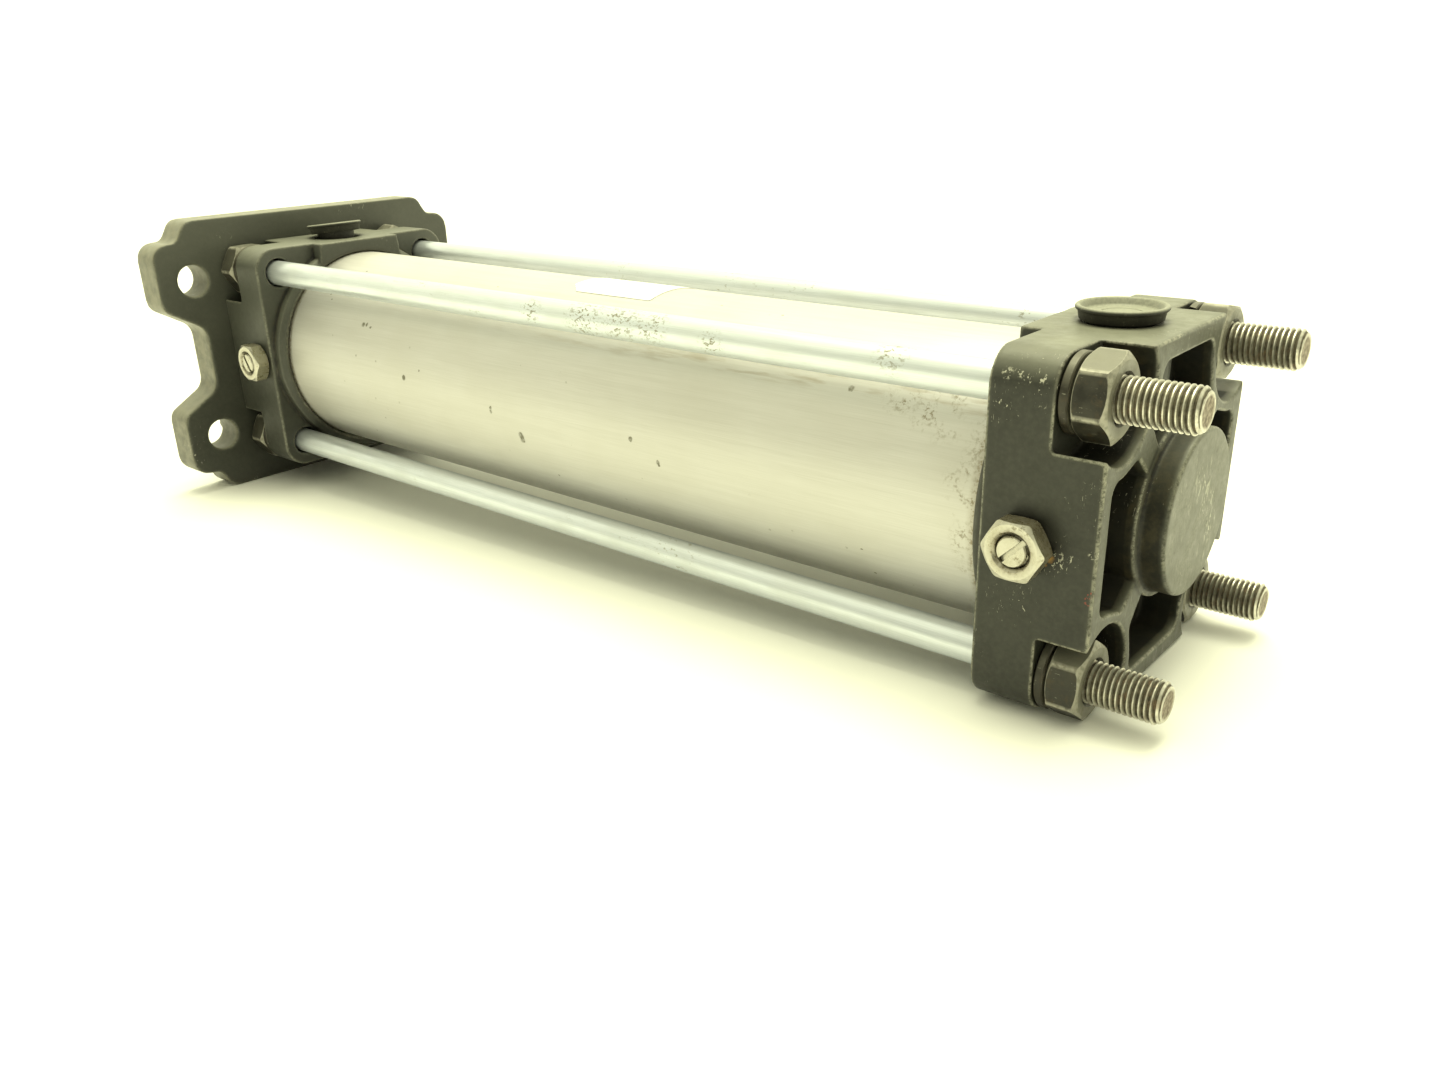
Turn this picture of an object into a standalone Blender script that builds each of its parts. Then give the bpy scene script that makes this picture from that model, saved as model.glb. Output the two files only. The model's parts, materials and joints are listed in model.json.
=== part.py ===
"""Double-acting tie-rod air cylinder, 63 mm bore, 250 mm stroke, with a rod-side flange.

Metres, +Z up.  The origin is the middle of the round boss face on the closed (rear) end.
+X runs along the cylinder to the rod, +Y is the side of the cushion needles, and both
air ports, closed by dust plugs, look up.  The rod is drawn fully in.
"""

import bpy
import bmesh
from math import atan2, cos, pi, radians, sin, tan
from mathutils import Vector

MM = 0.001
GAP = 0.3 * MM                      # clearance between touching pieces

# ---- driving dimensions ----
BORE = 63 * MM
STROKE = 250 * MM
ROD_DIAMETER = 20 * MM
TUBE_DIAMETER = 72 * MM
TIE_ROD_PITCH = 64 * MM             # spacing of the four tie rods, both ways
COVER_SIDE = 82 * MM
COVER_LENGTH = 27 * MM
COVER_CORNER = 8 * MM               # radius of the covers' four long edges
BOSS_RISE = 6 * MM                  # rear boss face, proud of the rear cover's rim
TUBE_ROOM = 293 * MM                # between the two covers' tube-side faces
FLANGE_THICKNESS = 13 * MM
FLANGE_HALF_WIDTH = 65 * MM
FLANGE_HALF_HEIGHT = 51 * MM
FLANGE_SHOULDER = 51 * MM           # half width of the flange's top and bottom edges
FLANGE_STEP = 55.5 * MM               # where the slope from that edge meets the ear
EAR_TOP = 43.5 * MM                 # the ears' height above and below the axis
EAR_BOTTOM = 20 * MM
NOTCH_HALF_WIDTH = 50.4 * MM        # floor of the notch in each short side
NOTCH_HALF_HEIGHT = 11.5 * MM
BOLT_Y = 51.5 * MM                  # flange bolt holes
BOLT_Z = 29.5 * MM
BOLT_HOLE = 11.5 * MM

# ---- stations along the axis ----
REAR_RIM = BOSS_RISE
REAR_FACE = REAR_RIM + COVER_LENGTH             # rear cover, tube side
FRONT_FACE = REAR_FACE + TUBE_ROOM              # front cover, tube side
FRONT_RIM = FRONT_FACE + COVER_LENGTH
FLANGE_BACK = FRONT_RIM + GAP
FLANGE_FRONT = FLANGE_BACK + FLANGE_THICKNESS
NOSE_END = FRONT_RIM + 17 * MM                  # end of the front cover's round nose
REAR_PORT = REAR_RIM + 16.4 * MM
FRONT_PORT = FRONT_RIM - 16.4 * MM
REAR_NEEDLE = REAR_RIM + 16.5 * MM
FRONT_NEEDLE = FRONT_FACE + 8 * MM

# ---- tie rods, nuts and spring washers (M10) ----
HALF_PITCH = TIE_ROD_PITCH / 2
STUD_RADIUS = 4.95 * MM
SHANK_RADIUS = 4.4 * MM
ROD_HOLE_RADIUS = 5.75 * MM
REAR_STUD_OUT = 15 * MM                         # beyond the rear rim
FRONT_STUD_OUT = 26 * MM                        # beyond the front rim
NUT_FLATS = 17 * MM
NUT_BORE = 5.3 * MM
NUT_HEIGHT = 7.7 * MM
WASHER_OUTER = 9 * MM
WASHER_HEIGHT = 2.2 * MM
WASHER_SPLIT = 1.2 * MM
POCKET_RADIUS = 13.75 * MM
POCKET_DEPTH = 12 * MM

# ---- covers ----
HALF_SIDE = COVER_SIDE / 2
BOSS_RADIUS = 19.6 * MM
STEP_RADIUS = 21.2 * MM                         # ring round the foot of the rear boss
COLLAR_RADIUS = 39.5 * MM
COLLAR_LENGTH = 5.5 * MM
SOCKET_RADIUS = TUBE_DIAMETER / 2 + GAP
SOCKET_DEPTH = 2.7 * MM                         # into the cover's block
WINDOW_OUTER = 36.3 * MM                        # half width inside the rim's frame
WINDOW_WIDE = 13.5 * MM                         # half width of a window at the frame
WINDOW_NARROW = 8 * MM                          # half width of a window at the boss
WINDOW_DEPTH = 10 * MM
PORT_WINDOW_DEPTH = 6.3 * MM                    # the window behind the port is shallower
NOSE_RADIUS = 20 * MM
PORT_BORE = 7.5 * MM
PORT_DEPTH = 24 * MM                            # bore floor, above the axis
PORT_PASSAGE = 5 * MM
PLUG_LIP = 10.2 * MM
PLUG_FOOT = 9.2 * MM
PLUG_HEIGHT = 3.4 * MM                          # lip's top, above the foot
PLUG_LENGTH = 8.5 * MM                          # body, below the foot
FRONT_PLUG_LIFT = 1.7 * MM                      # the front plug sits askew
FRONT_PLUG_LEAN = radians(6.4)

# ---- cushions ----
CAVITY_RADIUS = 15 * MM
CUSHION_RADIUS = 12 * MM
SEAL_GROOVE_RADIUS = 17 * MM
SEAL_GROOVE_START = 1.2 * MM                    # from the cover's tube-side face
SEAL_GROOVE_WIDTH = 3.2 * MM
CAVITY_DEPTH = 19.5 * MM
NEEDLE_RADIUS = 3.75 * MM
NEEDLE_BORE = 4.6 * MM
NEEDLE_SEAT = 1.5 * MM
NEEDLE_INNER = 19.4 * MM                        # tip of the needle, from the axis
NEEDLE_OUTER = 46.6 * MM
NEEDLE_FLOOR = 20 * MM
LOCK_NUT_FLATS = 13 * MM
LOCK_NUT_HEIGHT = 5.2 * MM

# ---- piston group ----
PISTON_RADIUS = BORE / 2 - GAP
PISTON_START = REAR_FACE + GAP
PISTON_END = PISTON_START + TUBE_ROOM - STROKE - 2 * GAP
STUB_RADIUS = 7 * MM                            # the rod's end inside the piston
STUB_START = REAR_FACE - 18 * MM
SLEEVE_LENGTH = 14 * MM
SHOULDER = PISTON_END + GAP + SLEEVE_LENGTH + GAP
REAR_SLEEVE_START = REAR_FACE - 12 * MM
PISTON_NUT_FLATS = 19 * MM
PISTON_NUT_HEIGHT = 5 * MM
ROD_THREAD_START = NOSE_END + 18 * MM
ROD_THREAD_LENGTH = 32 * MM
ROD_TIP = ROD_THREAD_START + ROD_THREAD_LENGTH
ROD_THREAD_RADIUS = 9 * MM
ROD_FLATS = 17 * MM                             # across the two spanner flats

# ---- rod guide ----
BUSH_OUTER = 12.7 * MM
BUSH_START = FRONT_FACE + CAVITY_DEPTH + 1.5 * MM
BUSH_LENGTH = 10 * MM
GLAND_RADIUS = 15 * MM
ROD_SEAL_LENGTH = 5.5 * MM
WIPER_LENGTH = 3.5 * MM
RETAINER_LENGTH = 1.5 * MM

# ---- blank label on top of the tube ----
LABEL_START = 158 * MM
LABEL_END = 194 * MM
LABEL_HALF_ANGLE = radians(17.5)
LABEL_THICKNESS = 0.3 * MM

# ---- facets ----
LARGE = 40
MEDIUM = 24
SMALL = 16

AXIAL = (0, pi / 2, 0)              # turns an object's own +Z to the cylinder's +X
SIDEWAYS = (-pi / 2, 0, 0)          # turns an object's own +Z to +Y
UPRIGHT = (0, 0, 0)

CORNERS = {"a": (1, 1), "b": (1, -1), "c": (-1, 1), "d": (-1, -1)}


# ---------------------------------------------------------------- scene set-up

def empty_scene():
    """Remove every object that the file opened with."""
    for thing in list(bpy.data.objects):
        bpy.data.objects.remove(thing, do_unlink=True)


def new_collection(name):
    collection = bpy.data.collections.new(name)
    bpy.context.scene.collection.children.link(collection)
    return collection


def new_material(name, colour, roughness, metallic):
    material = bpy.data.materials.new(name)
    material.use_nodes = True
    shader = material.node_tree.nodes["Principled BSDF"]
    shader.inputs["Base Color"].default_value = (*colour, 1)
    shader.inputs["Roughness"].default_value = roughness
    shader.inputs["Metallic"].default_value = metallic
    return material


empty_scene()
PARTS = new_collection("tie_rod_air_cylinder")
CUTTERS = new_collection("cutters")

BLACK_CASTING = new_material("black_painted_casting", (0.045, 0.048, 0.042), 0.5, 0.2)
BRUSHED_ALUMINIUM = new_material("brushed_aluminium", (0.72, 0.71, 0.64), 0.35, 1.0)
ZINC_PLATE = new_material("zinc_plated_steel", (0.74, 0.76, 0.73), 0.25, 1.0)
BLACK_OXIDE = new_material("black_oxide_steel", (0.10, 0.10, 0.085), 0.4, 0.9)
NICKEL = new_material("nickel_plated_steel", (0.78, 0.76, 0.66), 0.25, 1.0)
HARD_CHROME = new_material("hard_chrome", (0.80, 0.81, 0.82), 0.08, 1.0)
PISTON_METAL = new_material("turned_aluminium", (0.75, 0.75, 0.74), 0.3, 1.0)
BRONZE = new_material("sintered_bronze", (0.60, 0.40, 0.18), 0.45, 1.0)
RUBBER = new_material("nitrile_rubber", (0.02, 0.02, 0.02), 0.7, 0.0)
RESIN = new_material("wear_resin", (0.62, 0.55, 0.38), 0.5, 0.0)
PLUG_PLASTIC = new_material("black_polyethylene", (0.035, 0.037, 0.032), 0.55, 0.0)
PAPER = new_material("white_label", (0.90, 0.90, 0.86), 0.6, 0.0)


# ---------------------------------------------------------------- shape tools

def link(thing, collection, material=None):
    """Put an object in its collection, with its material."""
    for old in list(thing.users_collection):
        old.objects.unlink(thing)
    collection.objects.link(thing)
    if material is not None:
        thing.data.materials.clear()
        thing.data.materials.append(material)
    if collection is CUTTERS:
        thing.hide_render = True
        thing.display_type = "WIRE"
    return thing


def round_shading(thing):
    thing.data.shade_smooth()
    thing.data.set_sharp_from_angle(angle=radians(35))


def turned(name, profile, collection, material=None, place=(0, 0, 0), turn=AXIAL, facets=MEDIUM):
    """A turned piece.  The profile holds (height, radius) pairs, down the outer side.

    A profile that starts and ends on the axis is solid; any other one closes into a ring.
    """
    mesh = bpy.data.meshes.new(name)
    points = [(radius, 0, height) for height, radius in profile]
    edges = [(i, i + 1) for i in range(len(points) - 1)]
    if profile[0][1] > 0:
        edges.append((len(points) - 1, 0))
    mesh.from_pydata(points, edges, [])
    thing = bpy.data.objects.new(name, mesh)
    thing.location = place
    thing.rotation_euler = turn
    link(thing, collection, material)
    screw = thing.modifiers.new("turn", "SCREW")
    screw.steps = facets
    screw.render_steps = facets
    screw.use_merge_vertices = True
    screw.merge_threshold = 0.00001
    screw.use_smooth_shade = True
    return thing


def disc_profile(low, high, radius, chamfer=0.0):
    """A solid disc between two heights, with an optional chamfer on both rims."""
    if chamfer == 0:
        return [(high, 0), (high, radius), (low, radius), (low, 0)]
    return [(high, 0), (high, radius - chamfer), (high - chamfer, radius),
            (low + chamfer, radius), (low, radius - chamfer), (low, 0)]


def ring_profile(low, high, inner, outer):
    return [(high, inner), (high, outer), (low, outer), (low, inner)]


def rod_cutter(name, low, high, radius, place, turn, facets=MEDIUM):
    """A plain round cutter between two heights along its own axis."""
    return turned(name, disc_profile(low, high, radius), CUTTERS, None, place, turn, facets)


def arc(centre, radius, start, end, steps):
    """Points on an arc, both ends included, as (y, z) pairs."""
    points = []
    for i in range(steps + 1):
        angle = start + (end - start) * i / steps
        points.append((centre[0] + radius * cos(angle), centre[1] + radius * sin(angle)))
    return points


def circle(centre, radius, steps):
    return arc(centre, radius, 0, 2 * pi * (steps - 1) / steps, steps - 1)


def rounded(corners, steps=4):
    """An outline whose corners, given as (y, z, radius), are replaced by arcs."""
    points = []
    for i, (y, z, radius) in enumerate(corners):
        here = Vector((y, z))
        before = Vector(corners[i - 1][:2]) - here
        after = Vector(corners[(i + 1) % len(corners)][:2]) - here
        before.normalize()
        after.normalize()
        half = before.angle(after) / 2
        middle = (before + after).normalized()
        centre = here + middle * (radius / sin(half))
        first = here + before * (radius / tan(half)) - centre
        last = here + after * (radius / tan(half)) - centre
        start = atan2(first.y, first.x)
        sweep = atan2(last.y, last.x) - start
        if sweep > pi:
            sweep -= 2 * pi
        if sweep < -pi:
            sweep += 2 * pi
        points += arc(centre, radius, start, start + sweep, steps)
    return points


def plate(name, outlines, low, high, collection, material=None, place=(0, 0, 0), turn=AXIAL):
    """A flat piece across an axis, from closed outlines of (y, z) pairs; inner ones are holes."""
    curve = bpy.data.curves.new(name, "CURVE")
    curve.dimensions = "2D"
    curve.fill_mode = "BOTH"
    curve.extrude = (high - low) / 2
    for outline in outlines:
        spline = curve.splines.new("POLY")
        spline.points.add(len(outline) - 1)
        for point, (y, z) in zip(spline.points, outline):
            point.co = (-z, y, 0, 1)
        spline.use_cyclic_u = True
    thing = bpy.data.objects.new(name, curve)
    thing.rotation_euler = turn
    bpy.context.view_layer.update()
    along = thing.rotation_euler.to_matrix() @ Vector((0, 0, (high + low) / 2))
    thing.location = Vector(place) + along
    return link(thing, collection, material)


def as_mesh(thing, collection, material=None):
    """Turn a curve object into a closed mesh object of the same name."""
    bpy.context.view_layer.update()
    graph = bpy.context.evaluated_depsgraph_get()
    mesh = bpy.data.meshes.new_from_object(thing.evaluated_get(graph))
    work = bmesh.new()
    work.from_mesh(mesh)
    bmesh.ops.remove_doubles(work, verts=work.verts, dist=0.00001)
    bmesh.ops.recalc_face_normals(work, faces=work.faces)
    work.to_mesh(mesh)
    work.free()
    name = thing.name
    place = thing.matrix_world.copy()
    bpy.data.objects.remove(thing, do_unlink=True)
    solid = bpy.data.objects.new(name, mesh)
    solid.matrix_world = place
    return link(solid, collection, material)


def box(name, low, high, collection):
    """A box between two corners."""
    work = bmesh.new()
    bmesh.ops.create_cube(work, size=1)
    size = [b - a for a, b in zip(low, high)]
    bmesh.ops.scale(work, vec=size, verts=work.verts)
    mesh = bpy.data.meshes.new(name)
    work.to_mesh(mesh)
    work.free()
    thing = bpy.data.objects.new(name, mesh)
    thing.location = [(a + b) / 2 for a, b in zip(low, high)]
    return link(thing, collection)


def combine(target, operation, others):
    """Join other solids to the target, or cut them out of it."""
    for other in others:
        modifier = target.modifiers.new(other.name, "BOOLEAN")
        modifier.operation = operation
        modifier.solver = "EXACT"
        modifier.object = other


# ---------------------------------------------------------------- covers

def window_outline(turn):
    """One window of a cover's rim face, between the frame, the webs and the boss."""
    near = STEP_RADIUS * 0.97
    corners = [(near, -WINDOW_NARROW, 2 * MM), (WINDOW_OUTER, -WINDOW_WIDE, 4 * MM),
               (WINDOW_OUTER, WINDOW_WIDE, 4 * MM), (near, WINDOW_NARROW, 2 * MM)]
    c, s = round(cos(turn)), round(sin(turn))
    return [(c * y - s * z, s * y + c * z) for y, z in rounded(corners, 3)]


def cut_windows(name, cover, rim, inward):
    """Cut the four windows, leaving the boss round in the middle."""
    for i in range(4):
        depth = PORT_WINDOW_DEPTH if i == 1 else WINDOW_DEPTH
        ends = sorted((rim - inward * MM, rim + inward * depth))
        window = plate(f"{name}_window_{i}", [window_outline(i * pi / 2)], *ends, CUTTERS)
        window = as_mesh(window, CUTTERS)
        boss = rod_cutter(f"{name}_window_boss_{i}", ends[0] - MM, ends[1] + MM, STEP_RADIUS,
                          (0, 0, 0), AXIAL, LARGE)
        combine(window, "DIFFERENCE", [boss])
        combine(cover, "DIFFERENCE", [window])


def cut_tie_rod_places(name, cover, rim, inward):
    """Cut the four corner pockets for the nuts and the holes behind them."""
    pocket_ends = sorted((rim - inward * MM, rim + inward * POCKET_DEPTH))
    hole_ends = sorted((rim, rim + inward * (COVER_LENGTH + COLLAR_LENGTH)))
    for letter, (side, up) in CORNERS.items():
        place = (0, side * HALF_PITCH, up * HALF_PITCH)
        pocket = rod_cutter(f"{name}_pocket_{letter}", *pocket_ends, POCKET_RADIUS, place, AXIAL)
        hole = rod_cutter(f"{name}_hole_{letter}", *hole_ends, ROD_HOLE_RADIUS, place, AXIAL, SMALL)
        combine(cover, "DIFFERENCE", [pocket, hole])


def cut_tube_socket(name, cover, face, outward):
    """Cut the round socket that takes the end of the tube."""
    ends = sorted((face - outward * SOCKET_DEPTH, face + outward * (COLLAR_LENGTH + MM)))
    socket = rod_cutter(f"{name}_socket", *ends, SOCKET_RADIUS, (0, 0, 0), AXIAL, LARGE)
    combine(cover, "DIFFERENCE", [socket])


def cut_cushion_chamber(name, cover, face, outward):
    """Cut the chamber that the cushion sleeve enters, with the groove for its seal."""
    mouth = face - outward * (SOCKET_DEPTH - MM)
    floor = face - outward * CAVITY_DEPTH
    groove_a = face - outward * (SOCKET_DEPTH + SEAL_GROOVE_START)
    groove_b = groove_a - outward * SEAL_GROOVE_WIDTH
    chamber = rod_cutter(f"{name}_chamber", *sorted((mouth, floor)), CAVITY_RADIUS, (0, 0, 0), AXIAL)
    groove = rod_cutter(f"{name}_groove", *sorted((groove_a, groove_b)), SEAL_GROOVE_RADIUS,
                        (0, 0, 0), AXIAL)
    combine(cover, "DIFFERENCE", [chamber, groove])


def cut_port(name, cover, station):
    """Cut a port's bore, with its chamfered mouth, and the passage below it."""
    profile = [(HALF_SIDE + MM, 0), (HALF_SIDE + MM, PORT_BORE + 2 * MM), (HALF_SIDE - MM, PORT_BORE),
               (PORT_DEPTH, PORT_BORE), (PORT_DEPTH, PORT_PASSAGE),
               (CAVITY_RADIUS - 3 * MM, PORT_PASSAGE), (CAVITY_RADIUS - 3 * MM, 0)]
    bore = turned(f"{name}_port_bore", profile, CUTTERS, None, (station, 0, 0), UPRIGHT)
    combine(cover, "DIFFERENCE", [bore])


def make_port_plug(end, station, lift, lean):
    """A moulded dust plug: a tapered body in the port, and a dished head with a lip."""
    profile = [(PLUG_HEIGHT - 1.8 * MM, 0), (PLUG_HEIGHT - 1.8 * MM, 8.2 * MM),
               (PLUG_HEIGHT, 9 * MM), (PLUG_HEIGHT, PLUG_LIP - 0.4 * MM),
               (PLUG_HEIGHT - 0.4 * MM, PLUG_LIP), (PLUG_HEIGHT - 1.2 * MM, PLUG_LIP),
               (0, PLUG_FOOT), (0, 6.9 * MM), (0.5 * MM - PLUG_LENGTH, 6.1 * MM),
               (-PLUG_LENGTH, 5.6 * MM), (-PLUG_LENGTH, 0)]
    turned(f"port_plug_{end}", profile, PARTS, PLUG_PLASTIC, (station, 0, HALF_SIDE + lift),
           (0, lean, 0))


def cut_needle_bore(name, cover, station):
    """Cut the cushion needle's bore from the side, with the narrow seat at its end."""
    profile = [(HALF_SIDE + MM, 0), (HALF_SIDE + MM, NEEDLE_BORE), (NEEDLE_FLOOR, NEEDLE_BORE),
               (NEEDLE_FLOOR, NEEDLE_SEAT), (CAVITY_RADIUS - 3 * MM, NEEDLE_SEAT),
               (CAVITY_RADIUS - 3 * MM, 0)]
    bore = turned(f"{name}_needle_bore", profile, CUTTERS, None, (station, 0, 0), SIDEWAYS, SMALL)
    combine(cover, "DIFFERENCE", [bore])


def cover_block(name, low, high):
    """The covers' square block, with round long edges."""
    edge = HALF_SIDE
    corners = [(-edge, -edge), (edge, -edge), (edge, edge), (-edge, edge)]
    outline = rounded([(y, z, COVER_CORNER) for y, z in corners], 5)
    block = plate(name, [outline], low, high, PARTS, BLACK_CASTING)
    return as_mesh(block, PARTS, BLACK_CASTING)


def collar_profile(face, outward):
    """The round collar on a cover's tube side, which narrows towards the tube."""
    end = face + outward * COLLAR_LENGTH
    bend = face + outward * 3 * MM
    foot = face - outward * 2 * MM
    lip = TUBE_DIAMETER / 2 + 1.6 * MM
    points = [(end, 0), (end, lip), (bend, COLLAR_RADIUS), (foot, COLLAR_RADIUS), (foot, 0)]
    return points if outward > 0 else points[::-1]


def make_rear_cover():
    cover = cover_block("head_cover", REAR_RIM, REAR_FACE)
    collar = turned("head_cover_collar", collar_profile(REAR_FACE, 1), CUTTERS, None,
                    facets=LARGE)
    root = REAR_RIM + 2 * MM
    boss_profile = [(root, 0), (root, BOSS_RADIUS), (0.6 * MM, BOSS_RADIUS),
                    (0, BOSS_RADIUS - 0.6 * MM), (0, 0)]
    boss = turned("head_cover_boss", boss_profile, CUTTERS, None, facets=LARGE)
    combine(cover, "UNION", [collar])
    cut_windows("head_cover", cover, REAR_RIM, 1)
    combine(cover, "UNION", [boss])
    cut_tie_rod_places("head_cover", cover, REAR_RIM, 1)
    cut_tube_socket("head_cover", cover, REAR_FACE, 1)
    cut_cushion_chamber("head_cover", cover, REAR_FACE, 1)
    cut_port("head_cover", cover, REAR_PORT)
    cut_needle_bore("head_cover", cover, REAR_NEEDLE)
    round_shading(cover)


def make_front_cover():
    cover = cover_block("rod_cover", FRONT_FACE, FRONT_RIM)
    collar = turned("rod_cover_collar", collar_profile(FRONT_FACE, -1), CUTTERS, None,
                    facets=LARGE)
    root = FRONT_RIM - 2 * MM
    nose_profile = [(NOSE_END, 0), (NOSE_END, NOSE_RADIUS - MM), (NOSE_END - MM, NOSE_RADIUS),
                    (root, NOSE_RADIUS), (root, 0)]
    nose = turned("rod_cover_nose", nose_profile, CUTTERS, None, facets=LARGE)
    combine(cover, "UNION", [collar])
    cut_windows("rod_cover", cover, FRONT_RIM, -1)
    combine(cover, "UNION", [nose])
    cut_tie_rod_places("rod_cover", cover, FRONT_RIM, -1)
    cut_tube_socket("rod_cover", cover, FRONT_FACE, -1)
    cut_cushion_chamber("rod_cover", cover, FRONT_FACE, -1)
    seal_start = BUSH_START + BUSH_LENGTH + GAP
    bush_low = FRONT_FACE + CAVITY_DEPTH - MM
    guide = [(NOSE_END + MM, 0), (NOSE_END + MM, GLAND_RADIUS), (seal_start, GLAND_RADIUS),
             (seal_start, BUSH_OUTER + GAP), (BUSH_START - GAP, BUSH_OUTER + GAP),
             (BUSH_START - GAP, ROD_DIAMETER / 2 + 0.5 * MM),
             (bush_low, ROD_DIAMETER / 2 + 0.5 * MM), (bush_low, 0)]
    bore = turned("rod_cover_guide_bore", guide, CUTTERS)
    combine(cover, "DIFFERENCE", [bore])
    cut_port("rod_cover", cover, FRONT_PORT)
    cut_needle_bore("rod_cover", cover, FRONT_NEEDLE)
    round_shading(cover)


# ---------------------------------------------------------------- tube and flange

def make_tube():
    start = REAR_FACE - SOCKET_DEPTH + 2 * MM
    end = FRONT_FACE + SOCKET_DEPTH - 2 * MM
    turned("cylinder_tube", ring_profile(start, end, BORE / 2, TUBE_DIAMETER / 2),
           PARTS, BRUSHED_ALUMINIUM, facets=LARGE)
    thickness = 1.4 * MM
    inner = BORE / 2 + 0.8 * MM
    outer = SOCKET_RADIUS - 0.6 * MM
    for name, low in (("tube_gasket_rear", start - GAP - thickness), ("tube_gasket_front", end + GAP)):
        turned(name, ring_profile(low, low + thickness, inner, outer), PARTS, RUBBER)


def make_label():
    """A thin blank label, bent round the top of the tube."""
    inner = TUBE_DIAMETER / 2 + GAP
    top = pi / 2
    ends = (top - LABEL_HALF_ANGLE, top + LABEL_HALF_ANGLE)
    steps = 6
    outline = arc((0, 0), inner + LABEL_THICKNESS, *ends, steps)
    outline += arc((0, 0), inner, *ends[::-1], steps)
    label = plate("blank_label", [outline], LABEL_START, LABEL_END, PARTS, PAPER)
    as_mesh(label, PARTS, PAPER)


def flange_outline():
    """The plate with an ear at each corner and a notch in each short side."""
    quarter = [(FLANGE_SHOULDER, FLANGE_HALF_HEIGHT, 5 * MM), (FLANGE_STEP, EAR_TOP, 4 * MM),
               (FLANGE_HALF_WIDTH, EAR_TOP, 6 * MM), (FLANGE_HALF_WIDTH, EAR_BOTTOM, 5 * MM),
               (NOTCH_HALF_WIDTH, NOTCH_HALF_HEIGHT, 6 * MM)]
    right = quarter + [(y, -z, r) for y, z, r in reversed(quarter)]
    left = [(-y, z, r) for y, z, r in reversed(right)]
    return rounded(right + left, 3)


def make_flange():
    holes = [circle((0, 0), NOSE_RADIUS + 0.5 * MM, LARGE)]
    for side, up in CORNERS.values():
        holes.append(circle((side * BOLT_Y, up * BOLT_Z), BOLT_HOLE / 2, LARGE))
        holes.append(circle((side * HALF_PITCH, up * HALF_PITCH), ROD_HOLE_RADIUS, SMALL))
    flange = plate("flange_plate", [flange_outline()] + holes, FLANGE_BACK, FLANGE_FRONT,
                   PARTS, BLACK_CASTING)
    as_mesh(flange, PARTS, BLACK_CASTING)


# ---------------------------------------------------------------- tie rods and fasteners

def tie_rod_profile():
    """A smooth shank between two threaded studs with chamfered ends."""
    low = REAR_RIM - REAR_STUD_OUT
    high = FRONT_RIM + FRONT_STUD_OUT
    front_root = FRONT_RIM - 12 * MM
    rear_root = REAR_RIM + 20 * MM
    chamfer = 1.2 * MM
    return [(high, 0), (high, STUD_RADIUS - chamfer), (high - chamfer, STUD_RADIUS),
            (front_root, STUD_RADIUS), (front_root - MM, SHANK_RADIUS),
            (rear_root + MM, SHANK_RADIUS), (rear_root, STUD_RADIUS),
            (low + chamfer, STUD_RADIUS), (low, STUD_RADIUS - chamfer), (low, 0)]


def hexagon(flats, turn=0.0):
    radius = flats / 2 / cos(pi / 6)
    return [(radius * cos(turn + i * pi / 3), radius * sin(turn + i * pi / 3)) for i in range(6)]


def split_ring(inner, outer, split, steps=14):
    """The outline of a spring washer, open at its split."""
    open_outer = split / outer / 2
    open_inner = split / inner / 2
    ring = arc((0, 0), outer, open_outer, 2 * pi - open_outer, steps)
    return ring + arc((0, 0), inner, 2 * pi - open_inner, open_inner, steps)


def make_nut(name, low, place, flats, bore, height, material, turn=0.0, way=AXIAL):
    outlines = [hexagon(flats, turn), circle((0, 0), bore, SMALL)]
    nut = plate(name, outlines, low, low + height, PARTS, material, place, way)
    return as_mesh(nut, PARTS, material)


def make_spring_washer(name, low, place):
    outline = split_ring(NUT_BORE, WASHER_OUTER, WASHER_SPLIT)
    washer = plate(name, [outline], low, low + WASHER_HEIGHT, PARTS, BLACK_OXIDE, place)
    return as_mesh(washer, PARTS, BLACK_OXIDE)


def make_tie_rods():
    """Four tie rods, each with a nut and spring washer in both covers and on the flange."""
    rear_floor = REAR_RIM + POCKET_DEPTH
    front_floor = FRONT_RIM - POCKET_DEPTH
    stack = WASHER_HEIGHT + GAP
    nut_turns = {"a": 0.75, "b": 0.35, "c": 0.2, "d": 0.75}
    for letter, (side, up) in CORNERS.items():
        place = (0, side * HALF_PITCH, up * HALF_PITCH)
        turned(f"tie_rod_{letter}", tie_rod_profile(), PARTS, ZINC_PLATE, place, AXIAL, SMALL)
        turn = nut_turns[letter]
        size = (NUT_FLATS, NUT_BORE, NUT_HEIGHT, BLACK_OXIDE, turn)
        make_spring_washer(f"rear_spring_washer_{letter}", rear_floor - stack, place)
        make_nut(f"rear_nut_{letter}", rear_floor - stack - GAP - NUT_HEIGHT, place, *size)
        make_spring_washer(f"front_spring_washer_{letter}", front_floor + GAP, place)
        make_nut(f"front_nut_{letter}", front_floor + stack + GAP, place, *size)
        make_spring_washer(f"flange_spring_washer_{letter}", FLANGE_FRONT + GAP, place)
        make_nut(f"flange_nut_{letter}", FLANGE_FRONT + stack + GAP, place, *size)


# ---------------------------------------------------------------- cushion needles

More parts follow.
